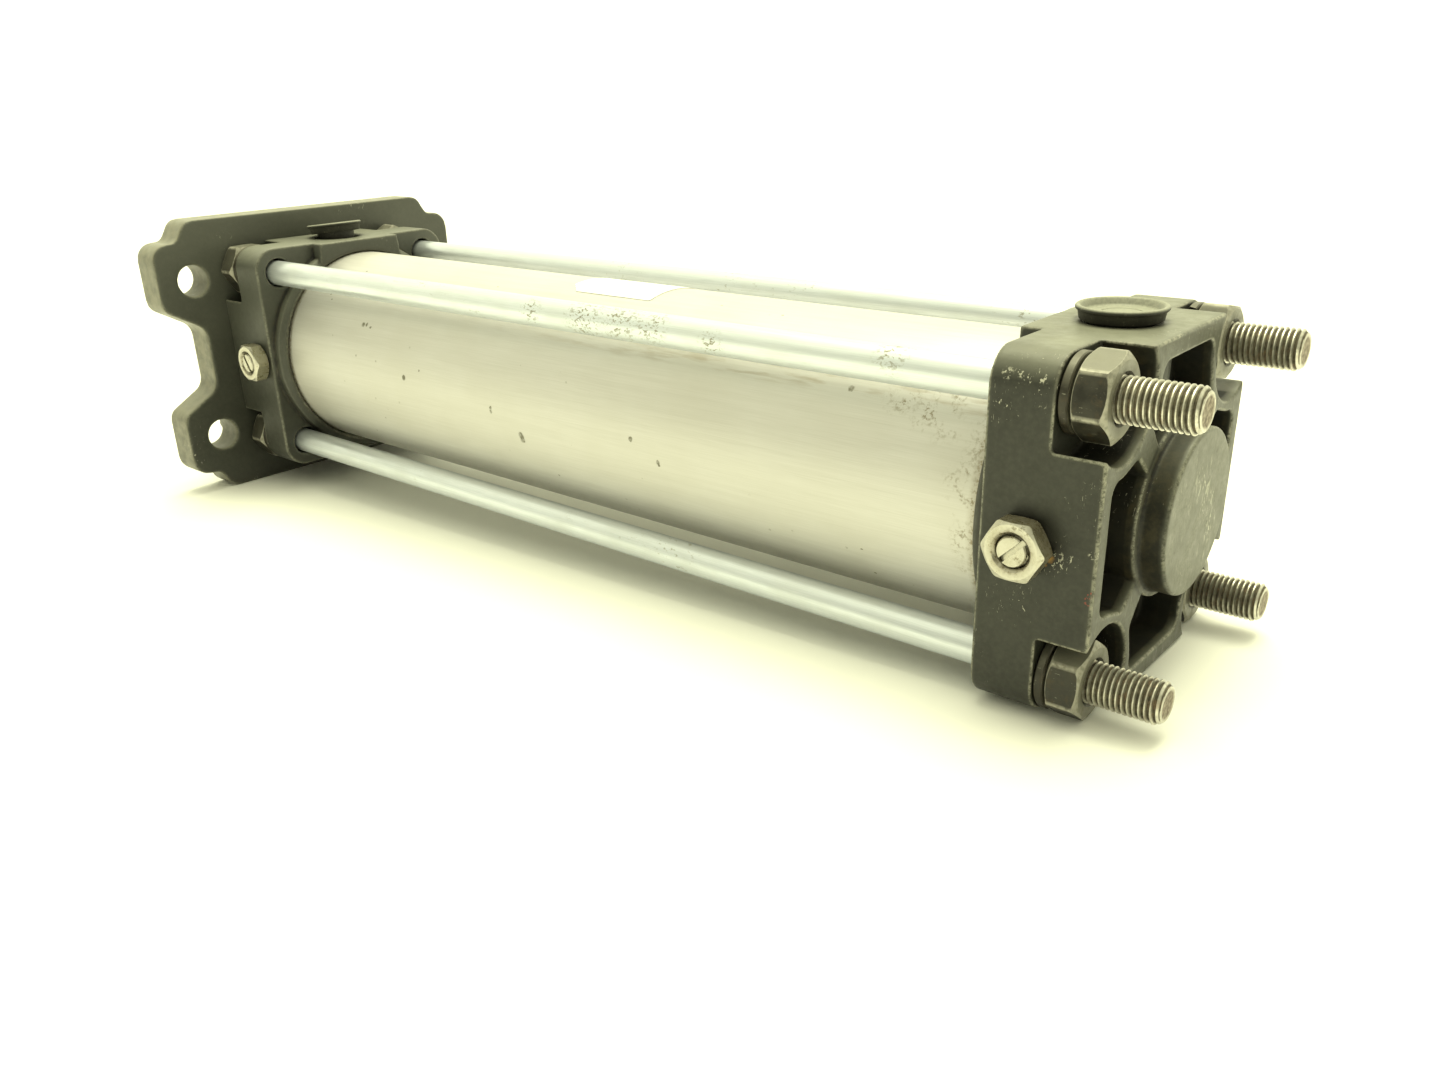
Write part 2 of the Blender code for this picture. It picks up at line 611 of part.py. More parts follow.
def make_needle(end, station, slot_turn):
    """A slotted needle screw with its O-ring, held by a lock nut on the cover's side.

    The needle turns about the empty at its seat; the O-ring rides in its groove.
    """
    holder = bpy.data.objects.new(f"needle_axis_{end}", None)
    holder.location = (station, 0, 0)
    PARTS.objects.link(holder)
    groove_low = 30 * MM
    groove_high = 32.2 * MM
    groove_radius = 2.6 * MM
    chamfer = 0.5 * MM
    cone_length = 4 * MM
    tip_radius = 0.8 * MM
    slot_half = 0.6 * MM
    slot_floor = NEEDLE_OUTER - 1.6 * MM
    slot_reach = 6 * MM
    profile = [(NEEDLE_OUTER, 0), (NEEDLE_OUTER, NEEDLE_RADIUS - chamfer),
               (NEEDLE_OUTER - chamfer, NEEDLE_RADIUS), (groove_high, NEEDLE_RADIUS),
               (groove_high, groove_radius), (groove_low, groove_radius),
               (groove_low, NEEDLE_RADIUS), (NEEDLE_INNER + cone_length, NEEDLE_RADIUS),
               (NEEDLE_INNER, tip_radius), (NEEDLE_INNER, 0)]
    needle = turned(f"cushion_needle_{end}", profile, PARTS, NICKEL, (0, 0, 0), SIDEWAYS, SMALL)
    slot = box(f"needle_slot_{end}", (-slot_reach, slot_floor, -slot_half),
               (slot_reach, NEEDLE_OUTER + MM, slot_half), CUTTERS)
    slot.location.x = station
    slot.rotation_euler = (0, radians(slot_turn), 0)
    needle.parent = holder
    combine(needle, "DIFFERENCE", [slot])
    ring = turned(f"needle_o_ring_{end}",
                  ring_profile(groove_low + GAP, groove_high - GAP, groove_radius + GAP,
                               NEEDLE_BORE - GAP), PARTS, RUBBER, (0, 0, 0), SIDEWAYS, SMALL)
    ring.parent = holder
    make_nut(f"needle_lock_nut_{end}", HALF_SIDE + GAP, (station, 0, 0), LOCK_NUT_FLATS,
             NEEDLE_RADIUS + GAP, LOCK_NUT_HEIGHT, NICKEL, pi / 2, SIDEWAYS)


# ---------------------------------------------------------------- piston group

def make_rod():
    """The piston rod: stub through the piston, chromed rod, spanner flats and thread."""
    radius = ROD_DIAMETER / 2
    chamfer = 1.5 * MM
    neck = 0.8 * MM
    profile = [(ROD_TIP, 0), (ROD_TIP, ROD_THREAD_RADIUS - chamfer),
               (ROD_TIP - chamfer, ROD_THREAD_RADIUS), (ROD_THREAD_START, ROD_THREAD_RADIUS),
               (ROD_THREAD_START - neck, radius), (SHOULDER, radius), (SHOULDER, STUB_RADIUS),
               (STUB_START + MM, STUB_RADIUS), (STUB_START, STUB_RADIUS - MM), (STUB_START, 0)]
    rod = turned("piston_rod", profile, PARTS, HARD_CHROME)
    flat = ROD_FLATS / 2
    start = ROD_THREAD_START - 10 * MM
    end = ROD_THREAD_START - 2 * MM
    for sign, word in ((1, "upper"), (-1, "lower")):
        low = min(sign * flat, sign * 2 * radius)
        high = max(sign * flat, sign * 2 * radius)
        cutter = box(f"rod_flat_{word}", (start, -2 * radius, low), (end, 2 * radius, high), CUTTERS)
        combine(rod, "DIFFERENCE", [cutter])
    round_shading(rod)


def make_piston():
    """The piston with its two seal grooves and the wear ring's groove."""
    seal_depth = 4.5 * MM
    seal_width = 4.6 * MM
    wear_depth = 2.5 * MM
    wear_width = 11 * MM
    middle = (PISTON_START + PISTON_END) / 2
    bore = STUB_RADIUS + GAP
    grooves = [(middle + 12 * MM, seal_width, seal_depth, "piston_seal_front", RUBBER),
               (middle, wear_width, wear_depth, "wear_ring", RESIN),
               (middle - 12 * MM, seal_width, seal_depth, "piston_seal_rear", RUBBER)]
    profile = [(PISTON_END, bore), (PISTON_END, PISTON_RADIUS - MM),
               (PISTON_END - MM, PISTON_RADIUS)]
    for centre, width, depth, name, material in grooves:
        high = centre + width / 2
        low = centre - width / 2
        profile += [(high, PISTON_RADIUS), (high, PISTON_RADIUS - depth),
                    (low, PISTON_RADIUS - depth), (low, PISTON_RADIUS)]
        turned(name, ring_profile(low + GAP, high - GAP, PISTON_RADIUS - depth + GAP,
                                  PISTON_RADIUS), PARTS, material)
    profile += [(PISTON_START + MM, PISTON_RADIUS), (PISTON_START, PISTON_RADIUS - MM),
                (PISTON_START, bore)]
    turned("piston", profile, PARTS, PISTON_METAL, facets=MEDIUM)


def make_cushion_sleeves():
    """The sleeves that enter the covers' chambers, the piston's nut and the cushion seals."""
    bore = STUB_RADIUS + GAP
    front_low = PISTON_END + GAP
    front_high = front_low + SLEEVE_LENGTH
    bevel = 1.5 * MM
    front = [(front_high, bore), (front_high, CUSHION_RADIUS - bevel),
             (front_high - 2 * bevel, CUSHION_RADIUS), (front_low, CUSHION_RADIUS),
             (front_low, bore)]
    turned("cushion_sleeve_front", front, PARTS, PISTON_METAL)
    rear_high = PISTON_START - GAP
    rear = [(rear_high, bore), (rear_high, CUSHION_RADIUS),
            (REAR_SLEEVE_START + 2 * bevel, CUSHION_RADIUS),
            (REAR_SLEEVE_START, CUSHION_RADIUS - bevel), (REAR_SLEEVE_START, bore)]
    turned("cushion_sleeve_rear", rear, PARTS, PISTON_METAL)
    make_nut("piston_nut", REAR_SLEEVE_START - GAP - PISTON_NUT_HEIGHT, (0, 0, 0),
             PISTON_NUT_FLATS, bore, PISTON_NUT_HEIGHT, BLACK_OXIDE)
    start = SOCKET_DEPTH + SEAL_GROOVE_START + GAP
    width = SEAL_GROOVE_WIDTH - 2 * GAP
    inner = CUSHION_RADIUS + GAP
    outer = SEAL_GROOVE_RADIUS - GAP
    rear_seal = ring_profile(REAR_FACE - start - width, REAR_FACE - start, inner, outer)
    turned("cushion_seal_rear", rear_seal, PARTS, RUBBER)
    front_seal = ring_profile(FRONT_FACE + start, FRONT_FACE + start + width, inner, outer)
    turned("cushion_seal_front", front_seal, PARTS, RUBBER)


def make_rod_guide():
    """The bush, seal and wiper that the rod runs in, and the ring that keeps them in."""
    inner = ROD_DIAMETER / 2 + GAP
    outer = GLAND_RADIUS - GAP
    turned("rod_bush", ring_profile(BUSH_START, BUSH_START + BUSH_LENGTH, inner, BUSH_OUTER),
           PARTS, BRONZE)
    low = BUSH_START + BUSH_LENGTH + 2 * GAP
    for name, length, material in (("rod_seal", ROD_SEAL_LENGTH, RUBBER),
                                   ("rod_wiper", WIPER_LENGTH, RUBBER),
                                   ("gland_ring", RETAINER_LENGTH, NICKEL)):
        turned(name, ring_profile(low, low + length, inner, outer), PARTS, material)
        low += length + GAP


make_rear_cover()
make_front_cover()
make_port_plug("rear", REAR_PORT, GAP, 0.0)
make_port_plug("front", FRONT_PORT, FRONT_PLUG_LIFT, FRONT_PLUG_LEAN)
make_tube()
make_label()
make_flange()
make_tie_rods()
make_needle("rear", REAR_NEEDLE, 30)
make_needle("front", FRONT_NEEDLE, -60)
make_rod()
make_piston()
make_cushion_sleeves()
make_rod_guide()
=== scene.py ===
"""The tie-rod air cylinder as photographed: used, black end covers, brushed tube, bright tie rods.

Every piece is built in the row frame and rides on the CAD body that it belongs to.
Sizes are in millimetres, and MM turns them into Blender's metres.
+X runs to the rod, +Y is the side of the cushion needles, +Z is where the ports look.
"""

import json
from math import atan, atan2, cos, pi, radians, sin, tan

import bmesh
import bpy
import numpy as np
from mathutils import Matrix, Vector

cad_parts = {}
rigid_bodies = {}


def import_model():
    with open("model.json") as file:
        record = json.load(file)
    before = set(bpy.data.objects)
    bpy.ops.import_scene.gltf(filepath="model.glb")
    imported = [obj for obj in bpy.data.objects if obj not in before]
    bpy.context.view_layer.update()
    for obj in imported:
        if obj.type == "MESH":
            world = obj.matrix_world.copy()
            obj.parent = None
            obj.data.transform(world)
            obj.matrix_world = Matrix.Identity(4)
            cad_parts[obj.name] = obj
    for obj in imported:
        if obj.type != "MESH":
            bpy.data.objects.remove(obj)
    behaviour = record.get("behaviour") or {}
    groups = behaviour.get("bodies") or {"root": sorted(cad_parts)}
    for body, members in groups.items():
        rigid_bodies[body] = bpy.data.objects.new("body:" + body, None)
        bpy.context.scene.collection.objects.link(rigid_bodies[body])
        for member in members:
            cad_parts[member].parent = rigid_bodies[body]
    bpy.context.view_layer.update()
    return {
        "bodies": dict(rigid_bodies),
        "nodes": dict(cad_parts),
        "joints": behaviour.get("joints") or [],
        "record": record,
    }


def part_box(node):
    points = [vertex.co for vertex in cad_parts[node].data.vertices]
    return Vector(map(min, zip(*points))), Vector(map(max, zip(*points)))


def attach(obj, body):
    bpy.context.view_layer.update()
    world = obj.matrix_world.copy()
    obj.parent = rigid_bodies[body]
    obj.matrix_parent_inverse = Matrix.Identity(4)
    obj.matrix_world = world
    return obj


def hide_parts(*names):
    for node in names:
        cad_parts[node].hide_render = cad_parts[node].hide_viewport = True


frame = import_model()

MM = 0.001
RECORD = frame["record"]
BODY_OF = {node: body for body, nodes in RECORD["behaviour"]["bodies"].items() for node in nodes}
SLOT_OF = {part["node"]: part["material_slot"] for part in RECORD["subparts"]}
CORNERS = {"a": (1, 1), "b": (1, -1), "c": (-1, 1), "d": (-1, -1)}
LOW, HIGH = 0, 1
X, Y, Z = 0, 1, 2


def box(node):
    """The low and high corners of a CAD node's box."""
    return [[value / MM for value in corner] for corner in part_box(node)]


def end(node, side, axis):
    """One end of that box, along one axis."""
    return box(node)[side][axis]


def span(node, axis):
    """Both ends of that box, along one axis."""
    return end(node, LOW, axis), end(node, HIGH, axis)


def middle(node, axis):
    return sum(span(node, axis)) / 2


# ---- stations, from the CAD boxes ----
BOSS_RISE = 6
COLLAR_LENGTH = 5.5
NOSE_LENGTH = 17
REAR_RIM = end("head_cover", LOW, X) + BOSS_RISE
REAR_FACE = end("head_cover", HIGH, X) - COLLAR_LENGTH
FRONT_FACE = end("rod_cover", LOW, X) + COLLAR_LENGTH
FRONT_RIM = end("rod_cover", HIGH, X) - NOSE_LENGTH
NOSE_END = end("rod_cover", HIGH, X)
REAR_NEEDLE = middle("cushion_needle_rear", X)
FRONT_NEEDLE = middle("cushion_needle_front", X)
PORT_INSET = 16.4
REAR_PORT = REAR_RIM + PORT_INSET
FRONT_PORT = FRONT_RIM - PORT_INSET
HALF_PITCH = middle("tie_rod_a", Z)
HALF_SIDE = end("head_cover", HIGH, Y)
TUBE_RADIUS = end("cylinder_tube", HIGH, Z)

# ---- covers ----
COVER_CORNER = 8
BOSS_RADIUS = 19.6
STEP_RADIUS = 21.2
COLLAR_RADIUS = 39.5
REAR_COLLAR = 3.2              # the rear collar's length
FRONT_COLLAR = 5
POCKET_RADIUS = 13.75
POCKET_DEPTH = 12
ROD_HOLE = 5.2
WINDOW_OUTER = 36.3
WINDOW_DEPTH = 10
NOSE_RADIUS = 20
PORT_COLUMN = 11.6             # radius of the wall round the port's bore
PORT_BORE = 7.5
PORT_FLOOR = 24
PORT_PASSAGE = 5
PORT_PAD = 17                  # half width of the thick part under the port
PORT_PAD_REACH = 5.4           # that part's reach over the tube
PLUG_LIP = 10.2
PLUG_FOOT = 9.2
PLUG_HEIGHT = 3.4
PLUG_LENGTH = 8.5
PLUG_LIFT = {"rear": 0.3, "front": 1.7}
PLUG_LEAN = {"rear": 0.0, "front": 6.4}
CAVITY_RADIUS = 15
CAVITY_DEPTH = 19.5
SOCKET_DEPTH = 2.7
GROOVE_RADIUS = 17
NEEDLE_BORE = 4.6
NEEDLE_SEAT = 1.5
NEEDLE_FLOOR = 20
SLOT_TURNS = {"rear": -45, "front": 60}
LOCK_NUT_TURN = pi / 2
GLAND_RADIUS = 15
GUIDE_RADIUS = 13
SLACK = 0.3                    # clearance between pieces that nearly touch

# ---- threads and nuts ----
STUD_PITCH = 1.25
STUD_DEPTH = 0.72
STUD_CHAMFER = 1
NUT_FLATS = 17
NUT_BORE = 5.02
LOCK_NUT_FLATS = 13
PISTON_NUT_FLATS = 19
PISTON_NUT_BORE = 7.2
ROD_STUB = 7                   # radius of the rod's end inside the piston
STUB_BORE = 7.3                # radius of the holes that the stub passes
ROD_THREAD_LENGTH = 32
ROD_FLATS = 17
NUT_OVERHANG = 0.7             # how far the rear nuts' corners hang below the cover
LABEL_HALF_TURN = 17.5         # degrees of the tube that the label covers on each side

# ---- flange: its outline's corners, in the quarter where Y and Z are positive ----
FLANGE_SHOULDER = 51
FLANGE_STEP = 55.5
EAR_TOP = 43.5
EAR_BOTTOM = 20
NOTCH_HALF_WIDTH = 50.4
NOTCH_HALF_HEIGHT = 11.5
BOLT_Y = 51.5
BOLT_Z = 29.5
BOLT_HOLE = 5.75

# ---- damage seen in the photograph, as (x, y, z, radius) in millimetres ----
CHIPPED = [(22, 40, 36, 9), (30, 41, 30, 6), (15, 41, -1, 6), (24, 41, -14, 7), (7, 40, 12, 6),
           (6, 8, 41, 9), (6, -8, 41, 8)]
TUBE_DROPS = [(192, 35, -6.4, 1.5), (191.8, 35, -7.6, 1.3), (250, 36, 4, 1.1), (205, 36, 0.6, 0.7),
              (205, 36, -0.6, 0.7), (144, 36, 1, 0.9), (134, 36, -4, 0.8), (133.6, 36, -5, 0.6),
              (277, 31, 18, 1.0), (275, 31, 18.3, 0.8), (272.5, 31.3, 17.6, 0.6), (76, 27.5, 23.5, 1.0)]
TUBE_GRIME = [(50, 28.5, 22, 9), (62, 27, 24, 6), (39, 35, 7, 8), (38, 35, -5, 6)]
ROD_STAINS = [(160, 36, 33, 9), (146, 36, 34, 9), (134, 36, 34, 7), (182, 36, 33, 5),
              (113, 36, 31, 5), (60, 34, 35, 6)]
BARE_CHIPS = [(21.1, 40.4, 36.2, 1.5), (26.4, 40.3, 36.5, 1.4), (29, 40.4, 36.2, 1.5),
              (24.1, 40.5, 35.6, 1.3), (14.4, 41, -1.0, 1.7), (14.2, 41, -2.8, 1.5),
              (11.1, 41, -1.1, 1.4), (6.8, 41, 1.6, 1.5)]
RED_MARK = [(6.8, 41, -7, 1.2), (6.9, 41, -9, 1.2)]
RUST = [(16.4, 41, -1.6, 1.3), (17.4, 41, -3.2, 0.9)]
OILY = [(18.5, 41, 4, 6), (22, 41, 6, 5), (16, 41, 0, 5)]
BOSS_SCRATCHES = [(0, -1, 8, 6), (0, -5, 1, 6), (0, -9, -5, 6)]

# ---- studio ----
LIGHT_TINT = (1.0, 1.0, 0.69)
VIEWER_SIDE = (-0.59, 0.77, 0.25)
FAR_GLOW = 1.55
NEAR_GLOW = 0.42
TOP_GLOW = 1.45
SUN_POWER = 2.9
SUN_ANGLE = 40
SUN_WAY = (-0.10, 0.22, -1.0)

# ---- the photograph's camera, from a fit to the tie rods, cover edges, studs and flange ----
CAMERA_PLACE = (-77.2, 254.4, 93.0)
CAMERA_TURN = (67.823, 1.541, -139.568)
CAMERA_LENS = 28.67
CAMERA_SHIFT = (0.0039, 0.0058)

CASTING_VOXEL = 0.42
PLATE_VOXEL = 0.5


# ================================================================ finishes

class Finish:
    """A Principled material, with short names for the nodes that the finishes share."""

    def __init__(self, name, metallic=0.0, roughness=0.5):
        self.material = bpy.data.materials.new(name)
        self.material.use_nodes = True
        self.tree = self.material.node_tree
        self.surface = self.tree.nodes["Principled BSDF"]
        self.surface.inputs["Metallic"].default_value = metallic
        self.surface.inputs["Roughness"].default_value = roughness
        self.place = self.node("ShaderNodeTexCoord").outputs["Object"]
        self.colour = None
        self.relief = None

    def feed(self, socket, value):
        if isinstance(value, bpy.types.NodeSocket):
            self.tree.links.new(value, socket)
        elif isinstance(value, tuple) and len(value) == 3 and len(socket.default_value) == 4:
            socket.default_value = (*value, 1)
        else:
            socket.default_value = value

    def node(self, kind, inputs=None, **settings):
        made = self.tree.nodes.new(kind)
        for name, value in settings.items():
            setattr(made, name, value)
        for name, value in (inputs or {}).items():
            self.feed(made.inputs[name], value)
        return made

    def stretched(self, stretch):
        if stretch == (1, 1, 1):
            return self.place
        mapping = self.node("ShaderNodeMapping", {"Vector": self.place, "Scale": stretch})
        return mapping.outputs["Vector"]

    def noise(self, size, detail=3, stretch=(1, 1, 1), rough=0.55, twist=0.0):
        """Cloudy noise whose features are about size millimetres wide."""
        made = self.node("ShaderNodeTexNoise", {
            "Vector": self.stretched(stretch), "Scale": 1 / (size * MM), "Detail": detail,
            "Roughness": rough, "Distortion": twist})
        return made.outputs["Fac"]

    def cells(self, size, stretch=(1, 1, 1)):
        """Distance to points scattered about size millimetres apart, in units of size."""
        made = self.node("ShaderNodeTexVoronoi", {
            "Vector": self.stretched(stretch), "Scale": 1 / (size * MM)})
        return made.outputs["Distance"]

    def between(self, value, low, high):
        """0 at low and 1 at high, held at both ends.  low may be the larger one."""
        made = self.node("ShaderNodeMapRange", {
            "Value": value, "From Min": low, "From Max": high}, clamp=True)
        return made.outputs["Result"]

    def patches(self, low, high, size, detail=3, **settings):
        """Noise made into patches: 0 where it is under low, 1 where it is over high."""
        return self.between(self.noise(size, detail, **settings), low, high)

    def scaled(self, value, low, high):
        """0 to 1 turned into low to high."""
        made = self.node("ShaderNodeMapRange", {"Value": value, "To Min": low, "To Max": high})
        return made.outputs["Result"]

    def maths(self, operation, first, second=0.0):
        made = self.node("ShaderNodeMath", operation=operation)
        self.feed(made.inputs[0], first)
        self.feed(made.inputs[1], second)
        return made.outputs["Value"]

    def times(self, *values):
        total = values[0]
        for value in values[1:]:
            total = self.maths("MULTIPLY", total, value)
        return total

    def most(self, first, second):
        return self.maths("MAXIMUM", first, second)

    def attribute(self, name):
        return self.node("ShaderNodeAttribute", attribute_name=name).outputs["Fac"]

    def mix(self, share, first, second):
        made = self.node("ShaderNodeMix", data_type="RGBA")
        self.feed(made.inputs[0], share)
        self.feed(made.inputs[6], first)
        self.feed(made.inputs[7], second)
        return made.outputs[2]

    def facing(self, axis):
        """How far the surface looks along a row axis, from -1 to 1."""
        normal = self.node("ShaderNodeNewGeometry").outputs["Normal"]
        parts = self.node("ShaderNodeSeparateXYZ", {"Vector": normal})
        return parts.outputs[axis]

    def along(self, axis):
        parts = self.node("ShaderNodeSeparateXYZ", {"Vector": self.place})
        return parts.outputs[axis]

    def near(self, spots, core=0.45, ragged=0.0):
        """1 close to some points, fading to 0.  spots holds (x, y, z, radius), in millimetres."""
        total = 0.0
        wander = self.scaled(self.noise(0.9, 4), -ragged * MM, ragged * MM) if ragged else 0.0
        for x, y, z, radius in spots:
            spot = (x * MM, y * MM, z * MM)
            away = self.node("ShaderNodeVectorMath", {0: self.place, 1: spot}, operation="DISTANCE")
            away = self.maths("ADD", away.outputs["Value"], wander) if ragged else away.outputs["Value"]
            total = self.most(total, self.between(away, radius * MM, radius * core * MM))
        return total

    def bump(self, height, depth, strength=1.0):
        """Add relief of that depth, in millimetres."""
        inputs = {"Height": height, "Distance": depth * MM, "Strength": strength}
        if self.relief is not None:
            inputs["Normal"] = self.relief
        self.relief = self.node("ShaderNodeBump", inputs).outputs["Normal"]
        self.feed(self.surface.inputs["Normal"], self.relief)

    def coat(self, tint, *shares):
        """Lay a tint over the colour so far, as strongly as the shares multiplied together."""
        self.colour = self.mix(self.times(*shares), self.colour, tint)

    def done(self, roughness, metallic=None):
        self.feed(self.surface.inputs["Base Color"], self.colour)
        self.feed(self.surface.inputs["Roughness"], roughness)
        if metallic is not None:
            self.feed(self.surface.inputs["Metallic"], metallic)
        return self.material


def rub_faces(f):
    """Pale rubbed faces, with pits and streaks: a cover's rim, and the rear cover's boss and its ledge.
    """
    speck = f.patches(0.40, 0.62, 0.9, 4, rough=0.7)
    patch = f.patches(0.32, 0.6, 9, 4)
    rub = f.attribute("rubbed")
    f.coat((0.160, 0.160, 0.128), rub, f.scaled(f.times(speck, patch), 0.62, 1.0))
    pits = f.between(f.cells(2.9, stretch=(1, 1.3, 0.8)), 0.13, 0.07)
    f.coat((0.040, 0.038, 0.028), pits, rub, 0.7)
    streak = f.patches(0.63, 0.70, 0.7, 3, stretch=(1, 0.5, 0.12), twist=0.8)
    f.coat((0.36, 0.355, 0.29), streak, rub, 0.5)


def fill_hollows(f, hollow):
    """Brown grime and painted shade in the hollows, darkest in the deepest, and an oily stain and some
    rust by the rear lock nut.
    """
    brown = f.mix(f.patches(0.42, 0.64, 3.5, 5, rough=0.7),
                  (0.009, 0.0085, 0.006), (0.046, 0.037, 0.019))
    # grime and painted shade: the hollows are coated brown-dark
    f.coat(brown, hollow, 0.92)
    # painted shade: the deepest hollows go almost black
    f.coat((0.004, 0.004, 0.003), f.between(hollow, 0.8, 0.95), 0.75)
    f.coat((0.007, 0.0065, 0.005), f.near(OILY, 0.4), 0.75)
    f.coat((0.34, 0.19, 0.05), f.near(RUST, 0.3, 0.5), 0.9)


def wear_edges(f, far):
    """Edges worn to a thin broken line, fainter at the far end."""
    edge = f.attribute("edge")
    ragged = f.patches(0.40, 0.56, 1.1, 5, rough=0.75)
    long_gap = f.patches(0.36, 0.56, 9, 2)
    worn = f.times(f.between(edge, 0.45, 0.85), ragged, f.scaled(long_gap, 0.25, 1.0))
    f.coat((0.44, 0.43, 0.34), f.times(worn, f.scaled(far, 1.0, 0.45)), 0.85)
    f.coat((0.085, 0.085, 0.066), f.between(edge, 0.1, 0.7), 0.35)


def chip_paint(f):
    """Chips in clusters, scratches on the boss, and a few bare or red marks.  Gives the chips."""
    cluster = f.most(f.patches(0.60, 0.70, 19, 2), f.near(CHIPPED))
    chip = f.patches(0.655, 0.69, 0.85, 4, stretch=(1, 1.4, 0.7), rough=0.6, twist=0.9)
    scratch = f.patches(0.70, 0.73, 0.55, 2, stretch=(1, 0.25, 0.16), twist=1.5)
    chips = f.times(cluster, f.most(chip, scratch))
    scraped = f.patches(0.575, 0.61, 1.3, 3, stretch=(1, 1.1, 0.3), twist=1.4)
    chips = f.most(chips, f.times(scraped, f.near(BOSS_SCRATCHES, 0.3)))
    stroke = f.patches(0.57, 0.61, 0.6, 3, stretch=(1, 1, 0.7))
    chips = f.most(chips, f.times(stroke, f.near(BARE_CHIPS, 0.5)))
    f.coat((0.50, 0.49, 0.40), chips, 0.85)
    f.coat((0.42, 0.06, 0.04), stroke, f.near(RED_MARK, 0.5), 0.8)
    return chips


def black_paint(name, side_wear=0.0):
    """Satin black paint on metal: rubbed faces, worn edges, chips, dust, brown grime, painted shade in
    the hollows and painted light on what looks up.
    """
    f = Finish(name, roughness=0.45)
    f.surface.inputs["Specular IOR Level"].default_value = 0.4
    cloud = f.patches(0.3, 0.7, 22, 5)
    f.colour = f.mix(cloud, (0.016, 0.0165, 0.0125), (0.028, 0.029, 0.022))
    f.coat((0.050, 0.051, 0.038), f.patches(0.40, 0.68, 1.2, 4), 0.3)
    # dust and painted light on what looks up, and towards the far end a paler tone, lighter higher up,
    # of dust and painted haze
    f.coat((0.23, 0.232, 0.18), f.between(f.facing(Z), 0.25, 0.95), f.scaled(cloud, 0.55, 1.0))
    far = f.between(f.along(X), 0.25, 0.31)
    high = f.between(f.along(Z), -20 * MM, 45 * MM)
    f.coat((0.17, 0.175, 0.15), far, f.scaled(high, 0.10, 0.34))
    rub_faces(f)
    hollow = f.attribute("hollow")
    fill_hollows(f, hollow)
    wear_edges(f, far)
    if side_wear > 0:
        across = f.between(f.maths("ABSOLUTE", f.facing(X)), 0.85, 0.45)
        blotch = f.patches(0.34, 0.60, 4, 5, rough=0.65)
        f.coat((0.235, 0.225, 0.165), across, f.scaled(blotch, 0.45, 1.0), side_wear)
    chips = chip_paint(f)
    roughness = f.scaled(f.patches(0.3, 0.7, 3, 4), 0.36, 0.52)
    roughness = f.most(roughness, f.times(hollow, 0.6))
    f.bump(f.noise(0.8, 4, rough=0.6), 0.04, 0.7)
    f.bump(f.noise(6, 3), 0.12, 0.6)
    f.bump(f.maths("SUBTRACT", 1.0, chips), 0.05, 0.7)
    return f.done(roughness)


def plug_plastic():
    """Black moulded plastic, with pale dust and painted light on what looks up: the dish and the lip.
    """
    f = Finish("plug_plastic", roughness=0.5)
    cloud = f.patches(0.35, 0.65, 4, 4)
    f.colour = f.mix(cloud, (0.012, 0.0115, 0.009), (0.024, 0.023, 0.017))
    up = f.between(f.facing(Z), 0.1, 0.85)
    dust = f.patches(0.30, 0.62, 0.7, 5, rough=0.7)
    # dust and painted light: what looks up is pale
    f.coat((0.33, 0.332, 0.26), up, f.scaled(dust, 0.6, 1.0))
    scuff = f.patches(0.64, 0.72, 0.5, 3, stretch=(1, 1, 0.3), twist=0.6)
    f.coat((0.22, 0.215, 0.17), scuff, 0.4)
    f.bump(f.noise(0.4, 4), 0.02, 0.5)
    return f.done(f.scaled(dust, 0.38, 0.6))


